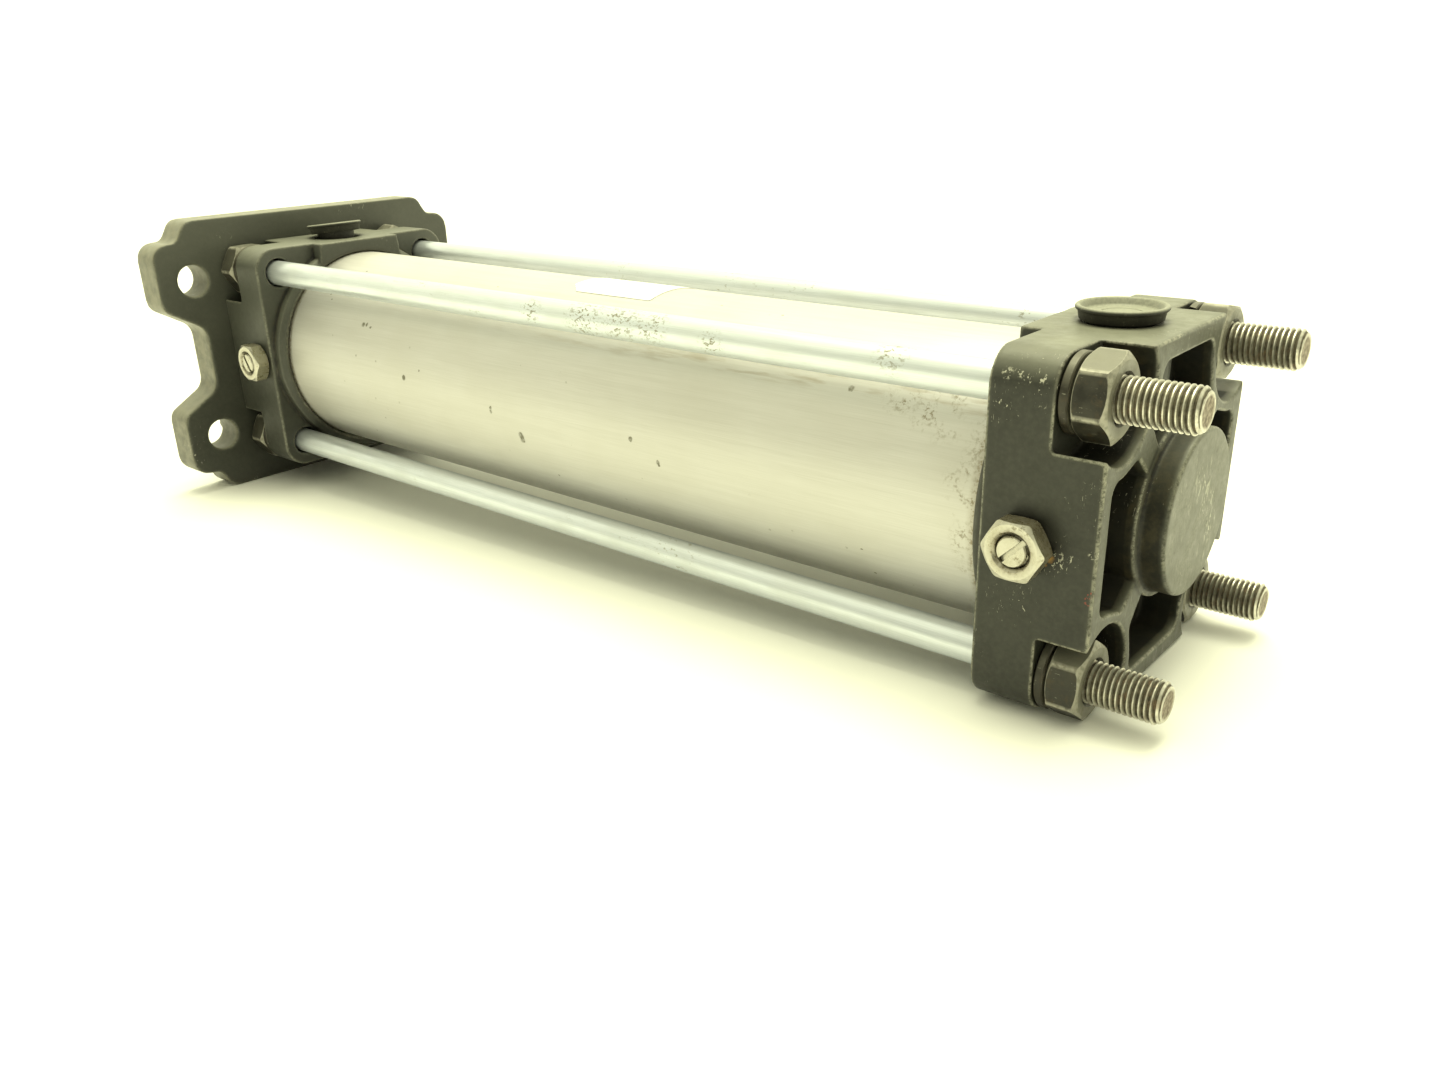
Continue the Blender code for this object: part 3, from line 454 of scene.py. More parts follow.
def brushed_tube():
    """Drawn aluminium, brushed along its length, with drops, dings and grime by the rear cover."""
    f = Finish("brushed_tube", roughness=0.5)
    hair = f.noise(0.16, 3, stretch=(0.012, 1, 1))
    wide = f.noise(1.3, 3, stretch=(0.02, 1, 1))
    f.colour = f.mix(f.between(hair, 0.3, 0.7), (0.53, 0.52, 0.50), (0.62, 0.61, 0.595))
    f.coat((0.68, 0.67, 0.66), f.between(wide, 0.35, 0.7), 0.30)
    cloud = f.patches(0.35, 0.68, 38, 4)
    f.coat((0.49, 0.47, 0.41), cloud, 0.30)
    ragged = f.patches(0.40, 0.56, 1.2, 4)
    # small flecks all over, and the larger drops
    fleck = f.between(f.cells(7, stretch=(1, 1.6, 1)), 0.075, 0.05)
    fleck = f.times(fleck, ragged, f.patches(0.46, 0.56, 26, 2))
    drops = f.near(TUBE_DROPS, 0.7, 0.5)
    marks = f.most(fleck, f.times(drops, f.scaled(ragged, 0.6, 1.0)))
    f.coat((0.135, 0.125, 0.085), marks, 0.92)
    # brown run below the upper tie rod
    x, y, z = f.along(X), f.along(Y), f.along(Z)
    run = f.between(f.maths("ABSOLUTE", f.maths("SUBTRACT", z, 24 * MM)), 2.6 * MM, 0.5 * MM)
    streaky = f.patches(0.50, 0.66, 1.6, 4, stretch=(0.12, 1, 1))
    run = f.times(run, f.between(y, 0, 4 * MM), streaky, f.between(x, 230 * MM, 130 * MM))
    f.coat((0.30, 0.24, 0.15), run, 0.5)
    # grime near the rear cover, and a brown line where the tube enters each collar
    blot = f.patches(0.50, 0.60, 1.1, 5, rough=0.7)
    near_cover = f.between(x, (REAR_FACE + 10) * MM, (REAR_FACE + 3) * MM)
    smudge = f.times(f.most(f.near(TUBE_GRIME), near_cover), blot)
    smudge = f.times(smudge, f.patches(0.42, 0.56, 6, 3))
    f.coat((0.165, 0.125, 0.06), smudge, 0.8)
    lip = f.most(f.between(x, (REAR_FACE + 6) * MM, (REAR_FACE + 4) * MM),
                 f.between(x, (FRONT_FACE - 6.5) * MM, (FRONT_FACE - 5.5) * MM))
    f.coat((0.20, 0.155, 0.085), lip, f.scaled(blot, 0.35, 0.8))
    dirt = f.most(marks, smudge)
    roughness = f.scaled(f.between(hair, 0.3, 0.7), 0.42, 0.55)
    roughness = f.most(roughness, f.times(dirt, 0.75))
    f.bump(hair, 0.012, 0.6)
    f.bump(f.maths("SUBTRACT", 1.0, marks), 0.06, 0.6)
    return f.done(roughness, f.scaled(dirt, 0.62, 0.1))


def zinc_and_thread():
    """Bright zinc on the shank; the threaded ends are dull steel with dirt in their roots."""
    f = Finish("zinc_plate", metallic=0.7, roughness=0.35)
    hair = f.noise(0.22, 3, stretch=(0.02, 1, 1))
    cloud = f.patches(0.45, 0.70, 9, 4, stretch=(0.5, 1, 1))
    zinc = f.mix(f.between(hair, 0.3, 0.7), (0.60, 0.645, 0.685), (0.71, 0.745, 0.80))
    zinc = f.mix(f.times(cloud, 0.25), zinc, (0.52, 0.535, 0.50))
    stain = f.patches(0.59, 0.66, 1.1, 5, stretch=(0.5, 1, 1), rough=0.7)
    patchy = f.patches(0.50, 0.64, 24, 2, stretch=(0.7, 1, 1))
    stain = f.times(stain, patchy, 0.8)
    spots = f.patches(0.53, 0.60, 0.8, 4, stretch=(0.6, 1, 1), rough=0.65, twist=0.6)
    stain = f.most(stain, f.times(spots, f.near(ROD_STAINS, 0.3)))
    zinc = f.mix(f.times(stain, 0.85), zinc, (0.19, 0.165, 0.095))
    crest = f.attribute("crest")
    grit = f.patches(0.35, 0.65, 1.1, 4)
    root = f.mix(grit, (0.055, 0.047, 0.030), (0.14, 0.12, 0.08))
    steel = f.mix(grit, (0.47, 0.45, 0.38), (0.68, 0.66, 0.58))
    bright = f.between(crest, 0.1, 0.75)
    dirty = f.mix(bright, root, steel)
    rust = f.times(f.patches(0.55, 0.68, 2.2, 4), 0.5)
    dirty = f.mix(rust, dirty, (0.20, 0.13, 0.08))
    threaded = f.attribute("threaded")
    f.colour = f.mix(threaded, zinc, dirty)
    shank_rough = f.scaled(f.most(cloud, stain), 0.30, 0.46)
    thread_rough = f.scaled(bright, 0.7, 0.36)
    roughness = f.maths("ADD", f.times(shank_rough, f.maths("SUBTRACT", 1.0, threaded)),
                        f.times(thread_rough, threaded))
    sawn = f.attribute("rubbed")
    f.coat(f.mix(grit, (0.135, 0.105, 0.078), (0.36, 0.315, 0.25)), sawn)
    roughness = f.most(roughness, f.times(sawn, 0.6))
    f.bump(hair, 0.01, 0.5)
    f.bump(f.times(threaded, f.noise(0.5, 4)), 0.08, 0.7)
    dull = f.times(threaded, f.scaled(bright, 1.0, 0.0))
    metallic = f.times(f.scaled(threaded, 0.7, 1.0), f.scaled(dull, 1.0, 0.4))
    return f.done(roughness, metallic)


def black_oxide():
    """Oily black oxide steel, brown in places, bare on its corners."""
    f = Finish("black_oxide", metallic=0.25, roughness=0.4)
    cloud = f.patches(0.35, 0.65, 4, 5)
    f.colour = f.mix(cloud, (0.016, 0.015, 0.011), (0.036, 0.034, 0.025))
    brown = f.patches(0.54, 0.68, 2.2, 5, rough=0.7)
    f.coat((0.065, 0.045, 0.022), brown, 0.45)
    # painted light: the up-facing facets are lighter, as lit from above; the end faces get the same
    # pale tone
    up = f.between(f.facing(Z), 0.3, 0.9)
    ends = f.between(f.maths("ABSOLUTE", f.facing(X)), 0.7, 0.95)
    f.coat((0.235, 0.228, 0.180), f.most(up, ends), 0.75)
    grime = f.times(f.attribute("hollow"), f.scaled(cloud, 0.6, 1.0))
    f.coat((0.035, 0.028, 0.016), grime)
    ragged = f.patches(0.36, 0.56, 1.3, 4)
    worn = f.times(f.between(f.attribute("edge"), 0.6, 1.0), f.scaled(ragged, 0.35, 1.0))
    f.coat((0.50, 0.48, 0.40), worn, 0.8)
    scratch = f.patches(0.68, 0.74, 0.35, 2, stretch=(0.2, 1, 1), twist=1.0)
    f.coat((0.34, 0.33, 0.27), scratch, 0.5)
    roughness = f.scaled(f.most(cloud, brown), 0.30, 0.55)
    f.bump(f.noise(0.6, 4), 0.04, 0.7)
    return f.done(roughness)


def nickel():
    """Tarnished nickel, with brown dirt near the thread and against the cover."""
    f = Finish("nickel", metallic=1.0, roughness=0.25)
    cloud = f.patches(0.35, 0.65, 3, 4)
    f.colour = f.mix(cloud, (0.42, 0.40, 0.33), (0.58, 0.56, 0.49))
    dirt = f.patches(0.50, 0.60, 0.9, 5, rough=0.7)
    grime = f.times(f.attribute("hollow"), f.scaled(dirt, 0.45, 1.0))
    grime = f.most(grime, f.times(dirt, f.patches(0.52, 0.62, 5, 2), 0.7))
    f.coat((0.13, 0.10, 0.05), grime, 0.9)
    scratch = f.patches(0.66, 0.72, 0.25, 2, stretch=(1, 1, 0.15), twist=1.2)
    f.coat((0.35, 0.32, 0.24), scratch, 0.5)
    flank = f.between(f.maths("ABSOLUTE", f.facing(Y)), 0.6, 0.2)
    flank = f.times(flank, f.scaled(dirt, 0.75, 0.95))
    brown = f.mix(f.between(f.along(X), 0.1, 0.3), (0.105, 0.086, 0.043), (0.20, 0.18, 0.11))
    f.coat(brown, flank)
    f.bump(f.noise(0.5, 3), 0.02, 0.6)
    return f.done(f.scaled(f.most(grime, cloud), 0.2, 0.5), f.scaled(flank, 1.0, 0.3))


def turned_metal(name, dark, light, roughness):
    """Machined metal with fine rings round the cylinder's axis, a little staining, oily threads."""
    f = Finish(name, metallic=1.0, roughness=roughness)
    rings = f.noise(0.25, 2, stretch=(1, 0.03, 0.03))
    cloud = f.patches(0.35, 0.68, 6, 4)
    f.colour = f.mix(f.between(rings, 0.3, 0.7), dark, light)
    f.coat(tuple(0.72 * c for c in dark), cloud, 0.4)
    root = f.times(f.attribute("threaded"), f.between(f.attribute("crest"), 0.9, 0.2))
    f.coat((0.09, 0.085, 0.065), root, 0.85)
    f.bump(rings, 0.012, 0.6)
    return f.done(f.scaled(cloud, roughness * 0.8, roughness * 1.3))


def moulded(name, dark, light, roughness, grain=0.5):
    """Moulded rubber, resin or film: faint grain, a little dust."""
    f = Finish(name, roughness=roughness)
    cloud = f.patches(0.35, 0.65, 7, 4)
    fine = f.noise(grain, 4, rough=0.65)
    f.colour = f.mix(cloud, dark, light)
    brighter = tuple(min(1, 1.3 * c) for c in light)
    f.coat(brighter, f.between(fine, 0.5, 0.7), 0.25)
    f.bump(fine, 0.03, 0.5)
    return f.done(f.scaled(cloud, roughness * 0.9, min(1, roughness * 1.15)))


def pale_floor():
    """Pale board, almost even."""
    f = Finish("pale_floor", roughness=0.8)
    cloud = f.patches(0.3, 0.7, 300, 3)
    f.colour = f.mix(cloud, (0.86, 0.862, 0.82), (0.90, 0.90, 0.87))
    f.bump(f.noise(3, 3), 0.02, 0.3)
    return f.done(f.scaled(cloud, 0.75, 0.85))


FINISHES = {
    "black_casting": black_paint("black_casting"),
    "black_plate": black_paint("black_plate", side_wear=0.8),
    "brushed_tube": brushed_tube(),
    "zinc_plate": zinc_and_thread(),
    "black_oxide": black_oxide(),
    "nickel": nickel(),
    "hard_chrome": turned_metal("hard_chrome", (0.60, 0.61, 0.63), (0.70, 0.71, 0.73), 0.14),
    "turned_aluminium": turned_metal("turned_aluminium", (0.66, 0.66, 0.65), (0.80, 0.80, 0.79), 0.32),
    "bronze": turned_metal("bronze", (0.48, 0.31, 0.13), (0.63, 0.43, 0.20), 0.42),
    "rubber": moulded("rubber", (0.016, 0.016, 0.016), (0.030, 0.030, 0.028), 0.62),
    "resin": moulded("resin", (0.50, 0.43, 0.28), (0.62, 0.55, 0.38), 0.5),
    "plug_plastic": plug_plastic(),
    "label": moulded("label", (0.88, 0.88, 0.84), (0.93, 0.93, 0.90), 0.55, 0.3),
}


# ================================================================ shape tools

def adopt(thing, *nodes):
    """The piece stands for these CAD nodes, wears their finish and rides on their body."""
    thing.data.materials.clear()
    thing.data.materials.append(FINISHES[SLOT_OF[nodes[0]]])
    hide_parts(*nodes)
    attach(thing, BODY_OF[nodes[0]])
    return thing


def new_object(name, mesh):
    thing = bpy.data.objects.new(name, mesh)
    bpy.context.scene.collection.objects.link(thing)
    return thing


def add_marks(mesh, marks):
    """Give a mesh point attributes, from {name: values}."""
    for key, values in marks.items():
        layer = mesh.attributes.new(key, "FLOAT", "POINT")
        layer.data.foreach_set("value", np.asarray(values, dtype=np.float32))


def solid_mesh(name, points, faces, sharp=32, marks=None):
    """A clean closed mesh.  marks holds point attributes, as {name: values}."""
    mesh = bpy.data.meshes.new(name)
    mesh.from_pydata([Vector(p) * MM for p in points], [], faces)
    add_marks(mesh, marks or {})
    work = bmesh.new()
    work.from_mesh(mesh)
    bmesh.ops.remove_doubles(work, verts=work.verts, dist=1e-6)
    bmesh.ops.recalc_face_normals(work, faces=work.faces)
    work.to_mesh(mesh)
    work.free()
    mesh.shade_smooth()
    mesh.set_sharp_from_angle(angle=radians(sharp))
    return mesh


class Turning:
    """A closed turned body, built ring by ring along an axis; threads are cut as true helices."""

    def __init__(self, count=64, axis=X, centre=(0, 0, 0), phase=0.0):
        self.count = count
        self.axis = axis
        self.centre = Vector(centre)
        self.angles = phase + 2 * pi * np.arange(count) / count
        self.points = []
        self.faces = []
        self.marks = {"edge": [], "hollow": [], "crest": [], "threaded": [], "rubbed": []}
        self.last = None
        self.first = None

    def place(self, height, radius, angle):
        u, v = radius * cos(angle), radius * sin(angle)
        spot = {X: (height, u, v), Y: (v, height, u), Z: (u, v, height)}[self.axis]
        return self.centre + Vector(spot)

    def point(self, height, radius, angle, marks):
        self.points.append(self.place(height, radius, angle))
        for key, values in self.marks.items():
            values.append(marks.get(key, 0.0))
        return len(self.points) - 1

    def join(self, before, after):
        for i in range(self.count):
            j = (i + 1) % self.count
            corners = []
            for spot in (before[i], before[j], after[j], after[i]):
                if spot not in corners:
                    corners.append(spot)
            if len(corners) > 2:
                self.faces.append(corners)

    def ring(self, height, radius, **marks):
        """Add a ring.  height, radius and each mark are numbers, or one number for each angle."""
        heights = np.broadcast_to(height, self.count)
        radii = np.broadcast_to(radius, self.count)
        if np.all(radii == 0):
            made = [self.point(heights[0], 0, 0, marks)] * self.count
        else:
            marks = {key: np.broadcast_to(value, self.count) for key, value in marks.items()}
            made = [self.point(heights[i], radii[i], self.angles[i],
                               {key: values[i] for key, values in marks.items()})
                    for i in range(self.count)]
        if self.last is not None:
            self.join(self.last, made)
        else:
            self.first = made
        self.last = made
        return self

    def rings(self, *pairs, **marks):
        for height, radius in pairs:
            self.ring(height, radius, **marks)
        return self

    def thread(self, goal, crest, depth, pitch, lead_in=0.0, lead_out=0.0):
        """Cut a thread from the last ring to the height goal, then close on a ring there.

        The thread's radius is held under a cone at a chamfered end: lead_in and lead_out
        are how far the chamfer takes the first and last rings down from the crest.
        """
        start = self.axis_height(self.last[0])
        way = 1 if goal > start else -1
        length = abs(goal - start)
        shape = [(0.0, 0.0), (0.12, 0.0), (0.38, 1.0), (0.60, 1.0), (0.86, 0.0)]
        steps = len(shape)
        rows = {}
        lowest = -steps
        highest = steps * (int(length / pitch) + 2)

        def spot(row, column):
            if column == self.count:
                row, column = row + steps, 0
            turn, index = divmod(row, steps)
            part, rise = shape[index]
            along = (turn + part + column / self.count) * pitch
            if along <= 0:
                return ("start", column)
            if along >= length:
                return ("goal", column)
            if (row, column) not in rows:
                limit = min(crest - lead_in + along, crest - lead_out + length - along, crest)
                radius = min(crest - depth * (1 - rise), limit)
                marks = {"crest": rise, "threaded": 1.0, "edge": rise}
                rows[row, column] = self.point(start + way * along, radius,
                                               self.angles[column], marks)
            return ("row", row, column)

        finish = [self.point(goal, crest - max(lead_out, depth / 2), a,
                             {"crest": 0.6, "threaded": 1.0}) for a in self.angles]

        def number(key):
            if key[0] == "start":
                return self.last[key[1] % self.count]
            if key[0] == "goal":
                return finish[key[1] % self.count]
            return rows[key[1], key[2]]

        for row in range(lowest, highest + 1):
            for column in range(self.count):
                keys = (spot(row, column), spot(row, column + 1),
                        spot(row + 1, column + 1), spot(row + 1, column))
                corners = []
                for key in keys:
                    if number(key) not in corners:
                        corners.append(number(key))
                if len(corners) > 2:
                    self.faces.append(corners)
        self.last = finish
        return self

    def axis_height(self, index):
        return (self.points[index] - self.centre)[self.axis]

    def close(self):
        self.join(self.last, self.first)
        return self

    def mesh(self, name, sharp=32):
        return solid_mesh(name, self.points, self.faces, sharp, self.marks)


def lathe(name, pairs, count=96, axis=X, centre=(0, 0, 0), sharp=32):
    """A turned solid or ring from (height, radius) pairs; off the axis it closes on itself."""
    body = Turning(count, axis, centre).rings(*pairs)
    if pairs[0][1] > 0:
        body.close()
    return new_object(name, body.mesh(name, sharp))


def ring_section(low, high, inner, outer, chamfer=0.3):
    """A ring's section, with its four corners chamfered."""
    return [(low + chamfer, inner), (low, inner + chamfer), (low, outer - chamfer),
            (low + chamfer, outer), (high - chamfer, outer), (high, outer - chamfer),
            (high, inner + chamfer), (high - chamfer, inner)]


def cutter(low, high, radius, centre=(0, 0, 0), axis=X, count=96):
    """A round cutting tool, with its ends at low and high along its axis."""
    return lathe("cutter", [(low, 0), (low, radius), (high, radius), (high, 0)], count, axis, centre)


def arc(centre, radius, start, sweep, steps):
    return [(centre[0] + radius * cos(start + sweep * i / steps),
             centre[1] + radius * sin(start + sweep * i / steps)) for i in range(steps + 1)]


def rounded(corners, steps=8):
    """An outline of (y, z) points whose corners, given as (y, z, radius), are arcs."""
    points = []
    for i, (y, z, radius) in enumerate(corners):
        here = Vector((y, z))
        before = (Vector(corners[i - 1][:2]) - here).normalized()
        after = (Vector(corners[(i + 1) % len(corners)][:2]) - here).normalized()
        half = before.angle(after) / 2
        centre = here + (before + after).normalized() * (radius / sin(half))
        first = here + before * (radius / tan(half)) - centre
        last = here + after * (radius / tan(half)) - centre
        start = atan2(first.y, first.x)
        sweep = (atan2(last.y, last.x) - start + pi) % (2 * pi) - pi
        points += arc(centre, radius, start, sweep, steps)
    return points


def slab(outline, low, high):
    """A solid with that (y, z) outline between two stations along X."""
    count = len(outline)
    points = [(low, y, z) for y, z in outline] + [(high, y, z) for y, z in outline]
    faces = [tuple(range(count)), tuple(range(2 * count - 1, count - 1, -1))]
    faces += [(i, (i + 1) % count, (i + 1) % count + count, i + count) for i in range(count)]
    return new_object("slab", solid_mesh("slab", points, faces))


def frozen(thing):
    """A new mesh with the object's modifiers applied."""
    graph = bpy.context.evaluated_depsgraph_get()
    return bpy.data.meshes.new_from_object(thing.evaluated_get(graph))


def carve(target, steps):
    """Join ("UNION") or cut out ("DIFFERENCE") other solids in turn, and use them up."""
    for operation, tool in steps:
        modifier = target.modifiers.new("carve", "BOOLEAN")
        modifier.operation = operation
        modifier.solver = "MANIFOLD"
        modifier.object = tool
    mesh = frozen(target)
    target.modifiers.clear()
    target.data = mesh
    for _, tool in steps:
        bpy.data.objects.remove(tool)
    return target


def rows_of(items, name, width, kind=float):
    """One property of all of a mesh's points or edges, a row for each."""
    values = np.empty(len(items) * width, dtype=kind)
    items.foreach_get(name, values)
    return values.reshape(-1, width)


def neighbour_mean(values, edges, degree):
    """Each point's mean over its neighbours."""
    total = np.empty_like(values)
    for axis in range(values.shape[1]):
        column = values[:, axis]
        total[:, axis] = (np.bincount(edges[:, 0], column[edges[:, 1]], len(values))
                          + np.bincount(edges[:, 1], column[edges[:, 0]], len(values)))
    return total / degree[:, None]


def as_cast(name, solid, voxel, passes, wear=None):
    """Remesh a solid finely and relax it, so that its edges round over as a casting's do.

    The mesh gets the point attributes that the paint reads: edge where it is convex,
    hollow where it is concave, and rubbed.  wear(spots, normals) gives rubbed, and more hollow.
    """
    modifier = solid.modifiers.new("remesh", "REMESH")
    modifier.mode = "VOXEL"
    modifier.voxel_size = voxel * MM
    mesh = frozen(solid)
    bpy.data.objects.remove(solid)
    count = len(mesh.vertices)
    spots = rows_of(mesh.vertices, "co", 3)
    edges = rows_of(mesh.edges, "vertices", 2, np.int64)
    degree = np.maximum(np.bincount(edges.ravel(), minlength=count), 1).astype(float)
    for _ in range(passes):
        spots = spots + 0.6 * (neighbour_mean(spots, edges, degree) - spots)
    mesh.vertices.foreach_set("co", spots.ravel())
    mesh.update()
    normals = rows_of(mesh.vertices, "normal", 3)
    bend = ((neighbour_mean(spots, edges, degree) - spots) * normals).sum(axis=1, keepdims=True)
    for _ in range(2):
        bend = 0.5 * bend + 0.5 * neighbour_mean(bend, edges, degree)
    curve = bend[:, 0] / (voxel * MM)
    marks = {"edge": np.clip(-curve / 0.10, 0, 1), "hollow": np.clip(curve / 0.06, 0, 1)}
    rubbed, grime_and_shade = wear(spots / MM, normals) if wear else (np.zeros(count), np.zeros(count))
    marks["rubbed"] = rubbed
    # the wear's grime and painted shade join the hollow mark, which the paint darkens
    marks["hollow"] = np.maximum(marks["hollow"], grime_and_shade)
    add_marks(mesh, marks)
    mesh.shade_smooth()
    return new_object(name, mesh)


# ================================================================ covers

def window_outline(turn):
    """One window of a cover's rim, between the frame, two pocket walls and the step ring."""
    side = [(WINDOW_OUTER, 15.2, 3.5), (31, 15.4, 12), (23.5, 17.6, 2.5), (16.5, 11.7, 0.5)]
    corners = [(y, -z, radius) for y, z, radius in reversed(side)] + side
    c, s = round(cos(turn)), round(sin(turn))
    return [(c * y - s * z, s * y + c * z) for y, z in rounded(corners)]


def window(turn, rim, inward, depth):
    ends = sorted((rim - inward, rim + inward * depth))
    opening = slab(window_outline(turn), *ends)
    ring = cutter(ends[0] - 1, ends[1] + 1, STEP_RADIUS)
    return carve(opening, [("DIFFERENCE", ring)])


def tie_rod_places(rim, inward, length):
    """Cutters for the four nut pockets and the holes behind them."""
    tools = []
    for side, up in CORNERS.values():
        centre = (0, side * HALF_PITCH, up * HALF_PITCH)
        tools.append(cutter(*sorted((rim - inward, rim + inward * POCKET_DEPTH)),
                            POCKET_RADIUS, centre))
        tools.append(cutter(*sorted((rim, rim + inward * length)), ROD_HOLE, centre, count=48))
    return tools


def chamber_tools(face, outward):
    """Cutters for the tube's socket, the cushion chamber and its seal's groove."""
    spans = [(SOCKET_DEPTH, -COLLAR_LENGTH - 1, TUBE_RADIUS + 0.3),
             (CAVITY_DEPTH, SOCKET_DEPTH - 1, CAVITY_RADIUS),
             (SOCKET_DEPTH + 4.4, SOCKET_DEPTH + 1.2, GROOVE_RADIUS)]
    return [cutter(*sorted((face - outward * deep, face - outward * shallow)), radius)
            for deep, shallow, radius in spans]


def port_bore(station):
    """Cutter for a port's chamfered bore and the passage below it."""
    deep = CAVITY_RADIUS - 3
    return lathe("bore", [(HALF_SIDE + 1, 0), (HALF_SIDE + 1, PORT_BORE + 2),
                          (HALF_SIDE - 1, PORT_BORE), (PORT_FLOOR, PORT_BORE),
                          (PORT_FLOOR, PORT_PASSAGE), (deep, PORT_PASSAGE), (deep, 0)],
                 96, Z, (station, 0, 0))


def needle_bore(station):
    deep = CAVITY_RADIUS - 3
    return lathe("bore", [(HALF_SIDE + 1, 0), (HALF_SIDE + 1, NEEDLE_BORE),
                          (NEEDLE_FLOOR, NEEDLE_BORE), (NEEDLE_FLOOR, NEEDLE_SEAT),
                          (deep, NEEDLE_SEAT), (deep, 0)],
                 48, Y, (station, 0, 0))


def cover_solid(rim, face, outward, port, needle, collar_length, end_piece):
    """A cover's exact shape, before its edges are rounded over."""
    edge = HALF_SIDE
    square = [(-edge, -edge), (edge, -edge), (edge, edge), (-edge, edge)]
    cover = slab(rounded([(y, z, COVER_CORNER) for y, z in square], 12), *sorted((rim, face)))
    collar_end = face + outward * collar_length
    bend = face + outward * (collar_length - 1.6)
    foot = face - outward * 2
    collar = lathe("collar", [(collar_end, 0), (collar_end, TUBE_RADIUS + 1.6),
                              (bend, COLLAR_RADIUS), (foot, COLLAR_RADIUS), (foot, 0)], 160)
    pad = [(-PORT_PAD - 1, 30), (PORT_PAD + 1, 30), (PORT_PAD, edge), (-PORT_PAD, edge)]
    pad = slab(pad, *sorted((foot, face + outward * PORT_PAD_REACH)))
    column = cutter(CAVITY_RADIUS, HALF_SIDE - 1, PORT_COLUMN, (port, 0, 0), Z)
    steps = [("UNION", collar), ("UNION", pad)]
    steps += [("DIFFERENCE", window(i * pi / 2, rim, outward, WINDOW_DEPTH)) for i in range(4)]
    steps += [("UNION", column)] + end_piece
    tools = tie_rod_places(rim, outward, abs(face - rim) + COLLAR_LENGTH)
    tools += chamber_tools(face, outward) + [port_bore(port), needle_bore(needle)]
    return carve(cover, steps + [("DIFFERENCE", tool) for tool in tools])


def make_port_plug(where, station):
    """A moulded dust plug: a dished head with a round lip, and a tapered body in the port."""
    top = PLUG_HEIGHT
    dish = top - 1.8
    profile = [(dish, 0), (dish, 4.3), (dish - 0.15, 4.45), (dish - 0.15, 4.7), (dish, 4.85),
               (dish, 7.6), (dish + 0.15, 8.0), (dish + 0.5, 8.3), (top - 0.4, 8.9)]
    bead = 0.6
    profile += [(top - bead + bead * sin(t), PLUG_LIP - bead + bead * cos(t))
                for t in np.radians(range(130, -71, -20))]
    profile += [(top - 1.5, PLUG_FOOT + 0.35), (0.3, PLUG_FOOT + 0.05), (0, PLUG_FOOT - 0.25),
                (0, 6.9), (0.5 - PLUG_LENGTH, 6.1), (-PLUG_LENGTH, 5.6), (-PLUG_LENGTH, 0)]
    plug = lathe(f"port_plug_{where}_moulded", profile, 96, Z, sharp=40)
    turn = Matrix.Rotation(radians(PLUG_LEAN[where]), 4, "Y")
    place = Vector((station, 0, HALF_SIDE + PLUG_LIFT[where]))
    plug.data.transform(Matrix.Translation(place * MM) @ turn)
    adopt(plug, f"port_plug_{where}")


def ramp(values, low, high):
    """0 at low and 1 at high, held at both ends."""
    return np.clip((values - low) / (high - low), 0, 1)


def cover_wear(rim, outward, port):
    """Where a cover is rubbed, and where it gets grime and painted shade: under its plug's lip, in
    pockets and windows, and at the rear boss's foot.
    """
    def wear(spots, normals):
        x, y, z = spots.T
        outer = np.maximum(np.abs(y), np.abs(z))
        radius = np.hypot(y, z)
        inward = outward * (x - rim)
        looks_out = ramp(-outward * normals[:, 0], 0.8, 0.95)
        from_port = np.hypot(x - port, y)
        # painted shade on the cover under the plug's overhanging lip
        under_plug = ramp(from_port, PLUG_FOOT + 1.6, PLUG_FOOT) * ramp(z, HALF_SIDE - 1, HALF_SIDE)
        frame = ramp(inward, 0.5, 0.2) * looks_out * ramp(radius, 22, 23)
        rubbed = 0.6 * frame
        to_rod = np.hypot(np.abs(y) - HALF_PITCH, np.abs(z) - HALF_PITCH)
        pocket = ramp(to_rod, POCKET_RADIUS + 0.6, POCKET_RADIUS + 0.2)
        pocket *= ramp(inward, 0.8, 3) * ramp(inward, POCKET_DEPTH + 1, POCKET_DEPTH)
        pocket *= ramp(outer, HALF_SIDE - 0.2, HALF_SIDE - 1)
        deep = ramp(outer, WINDOW_OUTER + 1, WINDOW_OUTER) * ramp(inward, 0.6, 2.5)
        deep *= ramp(inward, WINDOW_DEPTH + 2, WINDOW_DEPTH + 1)
        column = ramp(from_port, PORT_COLUMN + 0.8, PORT_COLUMN + 0.3) * ramp(z, 20, 22)
        # grime and painted shade in the nut pockets and the windows, lighter where the port's column
        # stands in a window
        grime_and_shade = np.maximum(0.62 * pocket, 0.95 * deep * (1 - 0.8 * column))
        grime_and_shade = np.maximum(grime_and_shade, 0.7 * under_plug)
        if rim == REAR_RIM:
            boss = ramp(x, 0.5, 0.3) * looks_out
            ledge = ramp(radius, STEP_RADIUS + 0.5, STEP_RADIUS) * looks_out
            rubbed = np.maximum(rubbed, np.maximum(boss, 0.55 * ledge))
            # painted shade in the crease at the foot of the boss
            wall = ramp(radius, BOSS_RADIUS - 1, BOSS_RADIUS - 0.4)
            wall *= ramp(radius, STEP_RADIUS + 0.6, STEP_RADIUS + 0.2)
            grime_and_shade = np.maximum(grime_and_shade, 0.8 * wall * ramp(x, 0.6, 1.6)) * (1 - looks_out)
        return rubbed, grime_and_shade
    return wear


